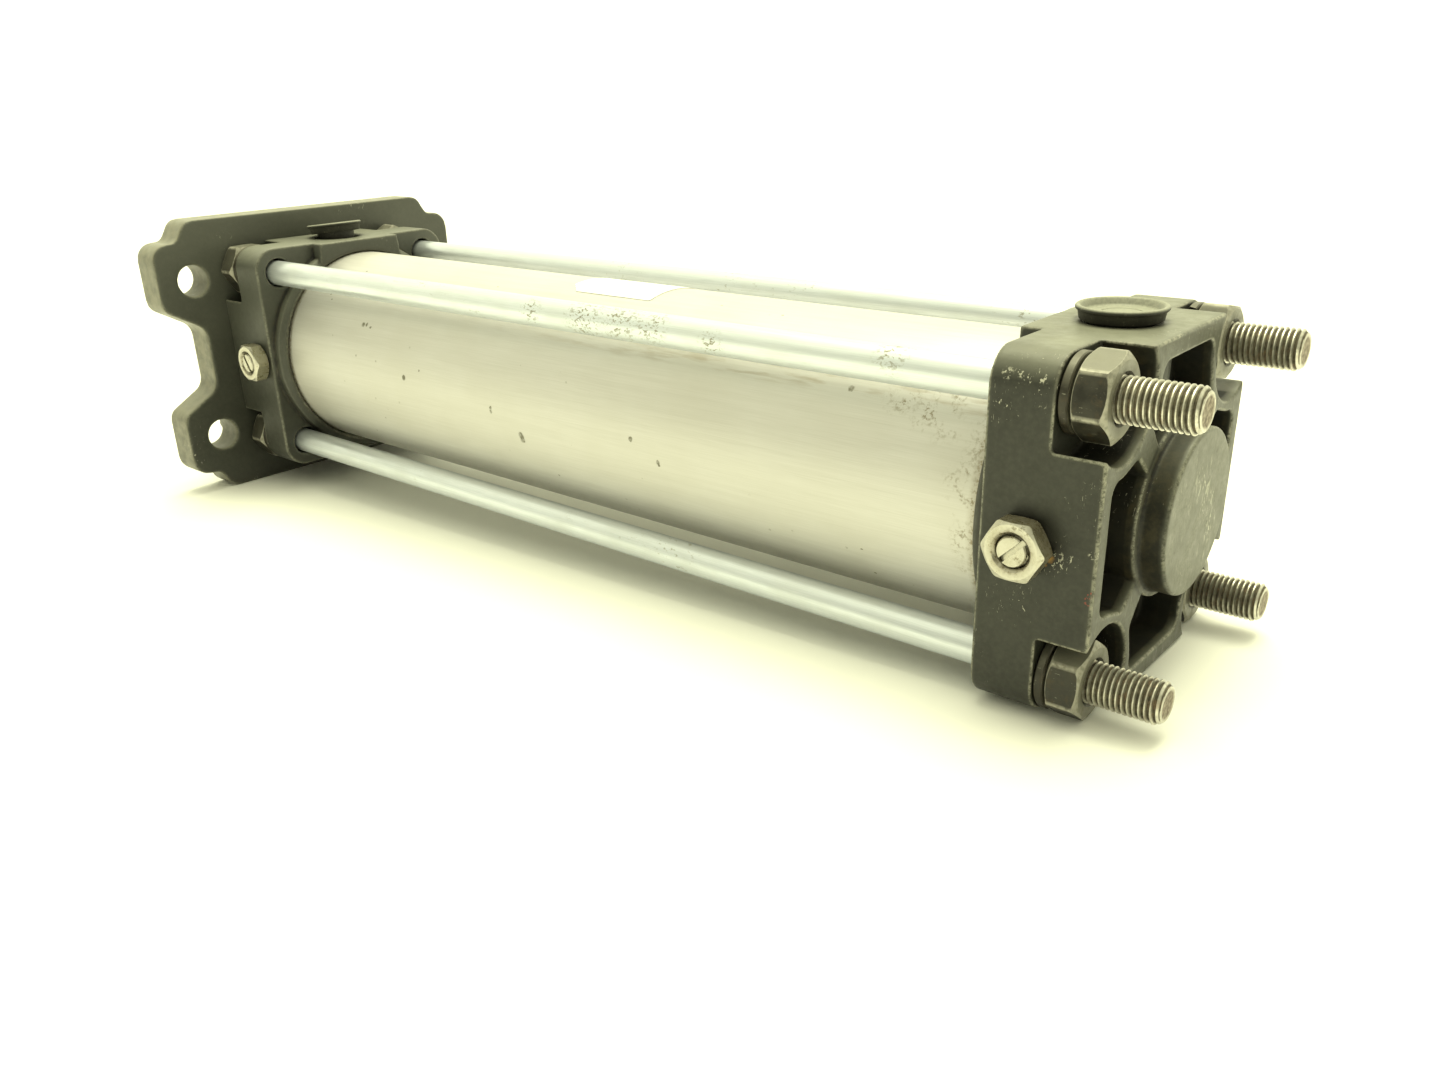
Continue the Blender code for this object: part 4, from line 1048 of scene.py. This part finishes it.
def make_head_cover():
    boss = lathe("boss", [(REAR_RIM + 2, 0), (REAR_RIM + 2, STEP_RADIUS),
                          (REAR_RIM + 0.3, STEP_RADIUS), (REAR_RIM, STEP_RADIUS - 0.3),
                          (REAR_RIM, BOSS_RADIUS + 0.3), (REAR_RIM - 0.5, BOSS_RADIUS),
                          (0.4, BOSS_RADIUS), (0, BOSS_RADIUS - 0.4), (0, 0)], 160)
    solid = cover_solid(REAR_RIM, REAR_FACE, 1, REAR_PORT, REAR_NEEDLE, REAR_COLLAR, [("UNION", boss)])
    wear = cover_wear(REAR_RIM, 1, REAR_PORT)
    adopt(as_cast("rear_cover_casting", solid, CASTING_VOXEL, 3, wear), "head_cover")


def make_rod_cover():
    nose = lathe("nose", [(NOSE_END, 0), (NOSE_END, NOSE_RADIUS - 1), (NOSE_END - 1, NOSE_RADIUS),
                          (FRONT_RIM - 2, NOSE_RADIUS), (FRONT_RIM - 2, 0)], 160)
    seal_start = end("rod_bush", HIGH, X) + SLACK
    bush_end = end("rod_bush", LOW, X) - SLACK
    inside = FRONT_FACE + CAVITY_DEPTH - 1
    throat = end("piston_rod", HIGH, Y) + 0.5
    guide = lathe("guide", [(NOSE_END + 1, 0), (NOSE_END + 1, GLAND_RADIUS),
                            (seal_start, GLAND_RADIUS), (seal_start, GUIDE_RADIUS),
                            (bush_end, GUIDE_RADIUS), (bush_end, throat), (inside, throat),
                            (inside, 0)], 96)
    steps = [("UNION", nose), ("DIFFERENCE", guide)]
    solid = cover_solid(FRONT_RIM, FRONT_FACE, -1, FRONT_PORT, FRONT_NEEDLE, FRONT_COLLAR, steps)
    wear = cover_wear(FRONT_RIM, -1, FRONT_PORT)
    adopt(as_cast("front_cover_casting", solid, CASTING_VOXEL, 3, wear), "rod_cover")


# ================================================================ flange, tube and label

def make_flange():
    """The plate with an ear at each corner and a notch in each short side."""
    low, high = box("flange_plate")
    width, height = high[Y], high[Z]
    quarter = [(FLANGE_SHOULDER, height, 5), (FLANGE_STEP, EAR_TOP, 4),
               (width, EAR_TOP, 6), (width, EAR_BOTTOM, 5),
               (NOTCH_HALF_WIDTH, NOTCH_HALF_HEIGHT, 6)]
    right = quarter + [(y, -z, r) for y, z, r in reversed(quarter)]
    left = [(-y, z, r) for y, z, r in reversed(right)]
    plate = slab(rounded(right + left, 8), low[X], high[X])
    ends = (low[X] - 1, high[X] + 1)
    tools = [cutter(*ends, NOSE_RADIUS + 0.5, count=128)]
    for side, up in CORNERS.values():
        tools.append(cutter(*ends, BOLT_HOLE, (0, side * BOLT_Y, up * BOLT_Z), count=64))
        tools.append(cutter(*ends, ROD_HOLE, (0, side * HALF_PITCH, up * HALF_PITCH), count=64))
    plate = carve(plate, [("DIFFERENCE", tool) for tool in tools])
    adopt(as_cast("mounting_flange", plate, PLATE_VOXEL, 4), "flange_plate")


def make_tube():
    low, high = box("cylinder_tube")
    section = ring_section(low[X], high[X], end("piston", HIGH, Y) + SLACK, TUBE_RADIUS, 0.4)
    adopt(lathe("barrel_tube", section, 192), "cylinder_tube")


def two_layers(rows, columns):
    """The faces of a thin closed sheet: two grids of points, joined round their rim."""
    wide = columns + 1
    layer = wide * (rows + 1)
    faces = []
    for i in range(rows):
        for j in range(columns):
            a = i * wide + j
            faces.append((a, a + 1, a + 1 + wide, a + wide))
            faces.append((a + layer, a + layer + wide, a + layer + 1 + wide, a + layer + 1))
    rim = list(range(wide)) + [i * wide + columns for i in range(1, rows + 1)]
    rim += [rows * wide + j for j in range(columns - 1, -1, -1)]
    rim += [i * wide for i in range(rows - 1, 0, -1)]
    for k, a in enumerate(rim):
        b = rim[(k + 1) % len(rim)]
        faces.append((a, b, b + layer, a + layer))
    return faces


def make_label():
    """A blank film label bent round the tube, with rounded corners and one torn corner."""
    low, high = box("blank_label")
    length = high[X] - low[X]
    half = atan(high[Y] / (TUBE_RADIUS * cos(radians(LABEL_HALF_TURN))))
    rows, columns = 60, 28
    round_off, torn_length = 0.6, 5
    points = []
    for radius in (TUBE_RADIUS + 0.05, TUBE_RADIUS + 0.2):
        for i in range(rows + 1):
            x = length * i / rows
            edge = min(x, length - x)
            trim = round_off - (round_off ** 2 - max(0, round_off - edge) ** 2) ** 0.5
            torn = max(0.0, x - length + torn_length) * 0.9
            if torn > 0:
                torn += 0.25 * sin(x * 4)
            start = -half + trim / TUBE_RADIUS
            stop = half - max(trim, torn) / TUBE_RADIUS
            for j in range(columns + 1):
                angle = start + (stop - start) * j / columns
                points.append((low[X] + x, radius * sin(angle), radius * cos(angle)))
    mesh = solid_mesh("label", points, two_layers(rows, columns), 50)
    adopt(new_object("blank_film_label", mesh), "blank_label")


# ================================================================ tie rods and fasteners

def make_tie_rod(letter):
    """A bright shank between two studs with real M10 threads."""
    node = f"tie_rod_{letter}"
    low, high = span(node, X)
    centre = (0, middle(node, Y), middle(node, Z))
    crest = end(node, HIGH, Y) - middle(node, Y)
    chamfered = crest - STUD_CHAMFER
    unthreaded = crest - 0.1
    shank = crest - 0.55
    rear_thread = end(f"rear_nut_{letter}", HIGH, X) + 1
    front_thread = end(f"flange_nut_{letter}", LOW, X) - 1
    body = Turning(56, X, centre)
    tip = {"threaded": 1.0, "crest": 0.95}
    sawn = {"threaded": 1.0, "crest": 0.6, "rubbed": 1.0}
    plain = {"threaded": 1.0, "crest": 0.5}
    body.rings((low + 0.15, 0), (low + 0.12, chamfered - 1), **sawn)
    body.rings((low, chamfered - 0.15), (low + 0.15, chamfered + 0.1), **tip)
    body.thread(rear_thread, crest, STUD_DEPTH, STUD_PITCH, lead_in=STUD_CHAMFER)
    body.rings((rear_thread + 0.2, unthreaded), (REAR_FACE - 6, unthreaded), **plain)
    body.rings((REAR_FACE - 5.5, shank), (FRONT_FACE + 5.5, shank))
    body.rings((FRONT_FACE + 6, unthreaded), (front_thread, crest - STUD_DEPTH / 2), **plain)
    body.thread(high - 0.15, crest, STUD_DEPTH, STUD_PITCH, lead_out=STUD_CHAMFER)
    body.ring(high, chamfered - 0.15, **tip)
    body.rings((high - 0.12, chamfered - 1), (high - 0.15, 0), **sawn)
    adopt(new_object(f"threaded_tie_rod_{letter}", body.mesh(node)), node)


def hexagon_radius(angles, flats, turn):
    """Distance to a hexagon's side at each angle, with a little taken off its corners."""
    sixth = pi / 3
    side = flats / 2 / np.cos((angles - turn) % sixth - sixth / 2)
    return np.minimum(side, flats / 2 / cos(pi / 6) - 0.18)


def nut_mesh(name, low, high, axis, centre, flats, bore, turn):
    """A hexagon nut, chamfered at 30 degrees on both faces, with a countersunk bore."""
    body = Turning(96, axis, centre, phase=turn)
    side = hexagon_radius(body.angles, flats, turn)
    face = flats / 2 * 0.94
    drop = np.maximum(0, side - face) * tan(radians(30))
    sink = 0.7
    corner = np.clip((side - flats / 2) / (flats / 2 * 0.135), 0, 1) ** 2

    # one half, as (inset from the face, radius, edge, hollow); the other half mirrors it
    half = [(sink, bore, 0, 1), (0, bore + sink, 0.6, 0.8), (0, bore + sink + 0.3, 0.1, 0.5),
            (0, face - 0.3, 0.1, 0), (0, face, 0.8, 0), (drop, side, 0.9, 0),
            (drop + 0.35, side, np.maximum(0.15, corner), 0)]
    for inset, radius, edge, hollow in half:
        body.ring(low + inset, radius, edge=edge, hollow=hollow)
    for inset, radius, edge, hollow in reversed(half):
        body.ring(high - inset, radius, edge=edge, hollow=hollow)
    body.close()
    return body.mesh(name, 24)


def make_nut(node, axis, flats, bore, turn):
    low, high = box(node)
    centre = [(a + b) / 2 for a, b in zip(low, high)]
    centre[axis] = 0
    adopt(new_object(f"{node}_hexagon",
                     nut_mesh(node, low[axis], high[axis], axis, centre, flats, bore, turn)), node)


def make_spring_washer(node, turn):
    """A split washer of square wire, with its two ends a little out of line."""
    low, high = box(node)
    inner, outer = 5.2, (high[Z] - low[Z]) / 2 - 0.1
    centre = (0, middle(node, Y), middle(node, Z))
    offset = 0.12
    thick = high[X] - low[X]
    section = ring_section(low[X] + offset, low[X] + thick - offset, inner, outer, 0.25)
    gap = 1.3 / outer
    steps = 72
    points, faces = [], []
    for i in range(steps + 1):
        share = i / steps
        for height, radius in section:
            lean = 0.5 * gap * (height - low[X]) / thick
            angle = turn + gap / 2 + (2 * pi - gap) * share + lean
            points.append((height + offset * (2 * share - 1), centre[1] + radius * cos(angle),
                           centre[2] + radius * sin(angle)))
    wide = len(section)
    for i in range(steps):
        for j in range(wide):
            k = (j + 1) % wide
            faces.append((i * wide + j, i * wide + k, (i + 1) * wide + k, (i + 1) * wide + j))
    faces.append(tuple(range(wide)))
    faces.append(tuple(range(steps * wide + wide - 1, steps * wide - 1, -1)))
    marks = {"edge": [0.55] * len(points), "hollow": [0.4] * len(points)}
    mesh = solid_mesh(node, points, faces, 32, marks)
    adopt(new_object(f"{node}_split", mesh), node)


def make_fasteners():
    turns = {"a": 42, "b": 37, "c": 12, "d": 50}
    splits = {"a": 150, "b": 165, "c": 60, "d": 200}
    for letter in CORNERS:
        make_tie_rod(letter)
        for place, extra in (("rear", 0), ("front", 17), ("flange", 31)):
            turn = radians(turns[letter] + extra)
            make_nut(f"{place}_nut_{letter}", X, NUT_FLATS, NUT_BORE, turn)
            make_spring_washer(f"{place}_spring_washer_{letter}", radians(splits[letter] + 40 * extra))


# ================================================================ cushion needles

def make_needle(where):
    """The slotted needle screw with its threaded head, its O-ring and its lock nut."""
    node = f"cushion_needle_{where}"
    low, high = box(node)
    centre = (middle(node, X), 0, 0)
    radius = (high[X] - low[X]) / 2
    groove_low, groove_high, groove_radius = 30, 32.2, 2.6
    body = Turning(64, Y, centre)
    body.rings((low[Y], 0), (low[Y], 0.8), (low[Y] + 4, radius), (groove_low, radius),
               (groove_low, groove_radius), (groove_high, groove_radius), (groove_high, radius))
    body.ring(HALF_SIDE - 3, radius - 0.2, threaded=1)
    body.thread(high[Y] - 1.0, radius, 0.45, 1.0, lead_out=0.3)
    body.ring(high[Y] - 0.5, radius - 0.3, edge=0.5)
    body.ring(high[Y] - 0.12, radius - 0.55, edge=0.6)
    body.ring(high[Y], radius - 1.2)
    body.ring(high[Y], 0)
    needle = new_object(f"slotted_needle_{where}", body.mesh(node))
    half, deep, reach = 0.6, 1.6, 6
    tool = slab([(-half, -reach), (half, -reach), (half, reach), (-half, reach)],
                high[Y] - deep, high[Y] + 1)
    turn = radians(SLOT_TURNS[where])
    for vertex in tool.data.vertices:
        depth, across, along = vertex.co
        vertex.co = (centre[0] * MM + along * cos(turn) - across * sin(turn), depth,
                     along * sin(turn) + across * cos(turn))
    needle = carve(needle, [("DIFFERENCE", tool)])
    needle.data.set_sharp_from_angle(angle=radians(32))
    adopt(needle, node)
    ring = f"needle_o_ring_{where}"
    inner, outer = 2.9, end(ring, HIGH, X) - middle(ring, X)
    low_y, high_y = span(ring, Y)
    section = [((low_y + high_y) / 2 + (high_y - low_y) / 2 * cos(t),
                (inner + outer) / 2 + (outer - inner) / 2 * sin(t))
               for t in np.linspace(0, 2 * pi, 17)[:-1]]
    adopt(lathe(f"needle_o_ring_{where}_round", section, 64, Y, centre, 60), ring)
    make_nut(f"needle_lock_nut_{where}", Y, LOCK_NUT_FLATS, radius + 0.12, LOCK_NUT_TURN)


# ================================================================ piston, rod and their seals

def make_piston_rod():
    low, high = box("piston_rod")
    radius = high[Y]
    stub = ROD_STUB
    shoulder = end("cushion_sleeve_front", HIGH, X) + SLACK
    thread_start = high[X] - ROD_THREAD_LENGTH
    crest, chamfer = 9, 1.5
    body = Turning(96, X)
    body.rings((low[X], 0), (low[X], stub - 1), (low[X] + 1, stub), (shoulder, stub))
    body.rings((shoulder, radius - 0.5), (shoulder + 0.5, radius))
    body.rings((thread_start - 2, radius), (thread_start - 1, radius - 0.6),
               (thread_start, crest - 0.8), (thread_start + 1.5, crest - 0.8))
    body.thread(high[X] - 0.2, crest, 0.9, 1.5, lead_out=chamfer)
    body.rings((high[X], crest - chamfer - 0.3), (high[X], 0))
    rod = new_object("chromed_piston_rod", body.mesh("piston_rod"))
    tools = []
    for sign in (1, -1):
        inner, outer = sign * ROD_FLATS / 2, sign * 2 * radius
        outline = [(-2 * radius, inner), (2 * radius, inner), (2 * radius, outer), (-2 * radius, outer)]
        if sign < 0:
            outline.reverse()
        tools.append(("DIFFERENCE", slab(outline, thread_start - 10, thread_start - 2)))
    rod = carve(rod, tools)
    rod.data.set_sharp_from_angle(angle=radians(32))
    adopt(rod, "piston_rod")


def make_piston():
    low, high = span("piston", X)
    radius = end("piston", HIGH, Y)
    bore, edge = STUB_BORE, 0.8
    section = [(high - edge, bore), (high, bore + edge), (high, radius - edge), (high - edge, radius)]
    for node, depth in (("piston_seal_front", 4.5), ("wear_ring", 2.5), ("piston_seal_rear", 4.5)):
        top, bottom = end(node, HIGH, X) + SLACK, end(node, LOW, X) - SLACK
        section += [(top + 0.2, radius), (top, radius - 0.2), (top, radius - depth),
                    (bottom, radius - depth), (bottom, radius - 0.2), (bottom - 0.2, radius)]
    section += [(low + edge, radius), (low, radius - edge), (low, bore + edge), (low + edge, bore)]
    adopt(lathe("turned_piston", section, 160), "piston")
    for node, facing in (("piston_seal_front", 1), ("piston_seal_rear", -1)):
        cup_seal(node, f"{node}_cup", end(node, HIGH, Y) - 3.9, facing)
    wear = ring_section(*span("wear_ring", X), radius - 2.2, end("wear_ring", HIGH, Y), 0.4)
    adopt(lathe("wear_ring_band", wear, 160), "wear_ring")


def cup_seal(node, name, inner, facing):
    """A lip seal whose open side looks along +X (facing 1) or -X (facing -1)."""
    closed, opened = span(node, X)[::facing]
    outer = end(node, HIGH, Y)
    length, wide = opened - closed, outer - inner

    def spot(share, across):
        return (closed + length * share, inner + wide * across)

    section = [spot(0, 0.12), spot(0, 0.86), spot(0.1, 0.94), spot(0.7, 0.97), spot(0.95, 1.0),
               spot(1.0, 0.95), spot(0.98, 0.84), spot(0.45, 0.60), spot(0.38, 0.50),
               spot(0.45, 0.40), spot(0.98, 0.16), spot(1.0, 0.05), spot(0.95, 0.0), spot(0.12, 0.0)]
    adopt(lathe(name, section, 128, sharp=50), node)


def make_sleeves():
    for node, tip in (("cushion_sleeve_front", HIGH), ("cushion_sleeve_rear", LOW)):
        base = end(node, 1 - tip, X)
        nose = end(node, tip, X)
        radius = end(node, HIGH, Y)
        way = 1 if nose > base else -1
        section = [(base + way * 0.3, STUB_BORE), (base, STUB_BORE + 0.3), (base, radius - 0.3),
                   (base + way * 0.3, radius), (nose - way * 3.2, radius),
                   (nose - way * 0.8, radius - 1.2), (nose, radius - 2.0),
                   (nose, STUB_BORE + 0.3), (nose - way * 0.3, STUB_BORE)]
        adopt(lathe(f"{node}_turned", section, 128), node)
    make_nut("piston_nut", X, PISTON_NUT_FLATS, PISTON_NUT_BORE, 0.0)


def make_rings():
    """The gaskets, seals and rings of the covers and the rod's guide."""
    inner = end("piston_rod", HIGH, Y) + SLACK
    for node in ("tube_gasket_rear", "tube_gasket_front"):
        section = ring_section(*span(node, X), 32.3, end(node, HIGH, Y), 0.4)
        adopt(lathe(f"{node}_ring", section, 128, sharp=60), node)
    for node, facing in (("cushion_seal_rear", 1), ("cushion_seal_front", -1)):
        cup_seal(node, f"{node}_cup", 12.3, facing)
    cup_seal("rod_seal", "rod_seal_cup", inner, -1)
    bush = ring_section(*span("rod_bush", X), inner, end("rod_bush", HIGH, Y), 0.5)
    adopt(lathe("rod_bush_turned", bush, 96), "rod_bush")
    low, high = span("rod_wiper", X)
    outer = end("rod_wiper", HIGH, Y)
    wiper = [(low + 0.3, inner + 1.2), (low, inner + 1.5), (low, outer - 0.3), (low + 0.3, outer),
             (high - 0.4, outer), (high, outer - 0.4), (high, outer - 1.8), (high - 0.8, outer - 2.2),
             (high - 0.1, inner + 0.4), (high - 0.1, inner), (low + 1.8, inner + 0.1)]
    adopt(lathe("rod_wiper_lip", wiper, 128, sharp=50), "rod_wiper")
    gland = ring_section(*span("gland_ring", X), inner + 0.6, end("gland_ring", HIGH, Y), 0.25)
    adopt(lathe("gland_ring_turned", gland, 128), "gland_ring")


# ================================================================ floor, lights and camera

def make_floor():
    """A pale floor under the two places where the cylinder rests: flange edge and rear nuts."""
    flange = Vector((end("flange_plate", LOW, X), 0, end("flange_plate", LOW, Z)))
    rear = Vector((middle("rear_nut_b", X), 0, end("head_cover", LOW, Z) - NUT_OVERHANG))
    slope = flange - rear
    reach = 6000
    along = slope.normalized() * reach
    across = Vector((0, reach, 0))
    centre = (flange + rear) / 2
    corners = [centre + a * along + b * across for a, b in ((-1, -1), (1, -1), (1, 1), (-1, 1))]
    mesh = bpy.data.meshes.new("floor")
    mesh.from_pydata([c * MM for c in corners], [], [(0, 1, 2, 3)])
    floor = new_object("pale_floor", mesh)
    floor.data.materials.append(pale_floor())


def make_world():
    """A bright studio: brightest overhead and behind the cylinder, dimmer where the viewer stands.

    The backdrop itself shows plain and pale all round.
    """
    world = bpy.data.worlds.new("studio")
    world.use_nodes = True
    nodes, links = world.node_tree.nodes, world.node_tree.links

    def node(kind, **inputs):
        made = nodes.new(kind)
        for name, value in inputs.items():
            socket = made.inputs[name.replace("_", " ")]
            if isinstance(value, bpy.types.NodeSocket):
                links.new(value, socket)
            else:
                socket.default_value = value
        return made

    def ease(value, low, high, start, stop):
        made = node("ShaderNodeMapRange", Value=value, From_Min=low, From_Max=high,
                    To_Min=start, To_Max=stop)
        made.interpolation_type = "SMOOTHSTEP"
        return made.outputs["Result"]

    place = node("ShaderNodeTexCoord").outputs["Generated"]
    toward = node("ShaderNodeVectorMath")
    toward.operation = "DOT_PRODUCT"
    links.new(place, toward.inputs[0])
    toward.inputs[1].default_value = VIEWER_SIDE
    around = ease(toward.outputs["Value"], -0.35, 0.85, FAR_GLOW, NEAR_GLOW)
    height = node("ShaderNodeSeparateXYZ", Vector=place).outputs["Z"]
    glow = node("ShaderNodeMix", Factor=ease(height, 0.35, 0.9, 0, 1), A=around, B=TOP_GLOW)
    seen = node("ShaderNodeLightPath").outputs["Is Camera Ray"]
    shown = node("ShaderNodeMix", Factor=seen, A=glow.outputs["Result"], B=FAR_GLOW)
    background = nodes["Background"]
    background.inputs["Color"].default_value = (*LIGHT_TINT, 1)
    links.new(shown.outputs["Result"], background.inputs["Strength"])
    bpy.context.scene.world = world


def make_light():
    make_world()
    sun = bpy.data.lights.new("overhead", "SUN")
    sun.energy = SUN_POWER
    sun.angle = radians(SUN_ANGLE)
    sun.color = LIGHT_TINT
    lamp = new_object("overhead", sun)
    lamp.rotation_euler = Vector(SUN_WAY).to_track_quat("-Z", "Y").to_euler()


def make_camera():
    data = bpy.data.cameras.new("camera")
    data.sensor_width = 36
    data.lens = CAMERA_LENS
    data.shift_x, data.shift_y = CAMERA_SHIFT
    data.clip_start = 0.01
    camera = new_object("camera", data)
    camera.location = Vector(CAMERA_PLACE) * MM
    camera.rotation_euler = [radians(turn) for turn in CAMERA_TURN]
    bpy.context.scene.camera = camera


def make_view():
    scene = bpy.context.scene
    scene.view_settings.view_transform = "Standard"
    scene.view_settings.look = "None"
    scene.view_settings.exposure = 0.0
    scene.view_settings.gamma = 1.0


make_head_cover()
make_rod_cover()
make_port_plug("rear", REAR_PORT)
make_port_plug("front", FRONT_PORT)
make_flange()
make_tube()
make_label()
make_fasteners()
make_needle("rear")
make_needle("front")
make_piston_rod()
make_piston()
make_sleeves()
make_rings()
make_floor()
make_light()
make_camera()
make_view()
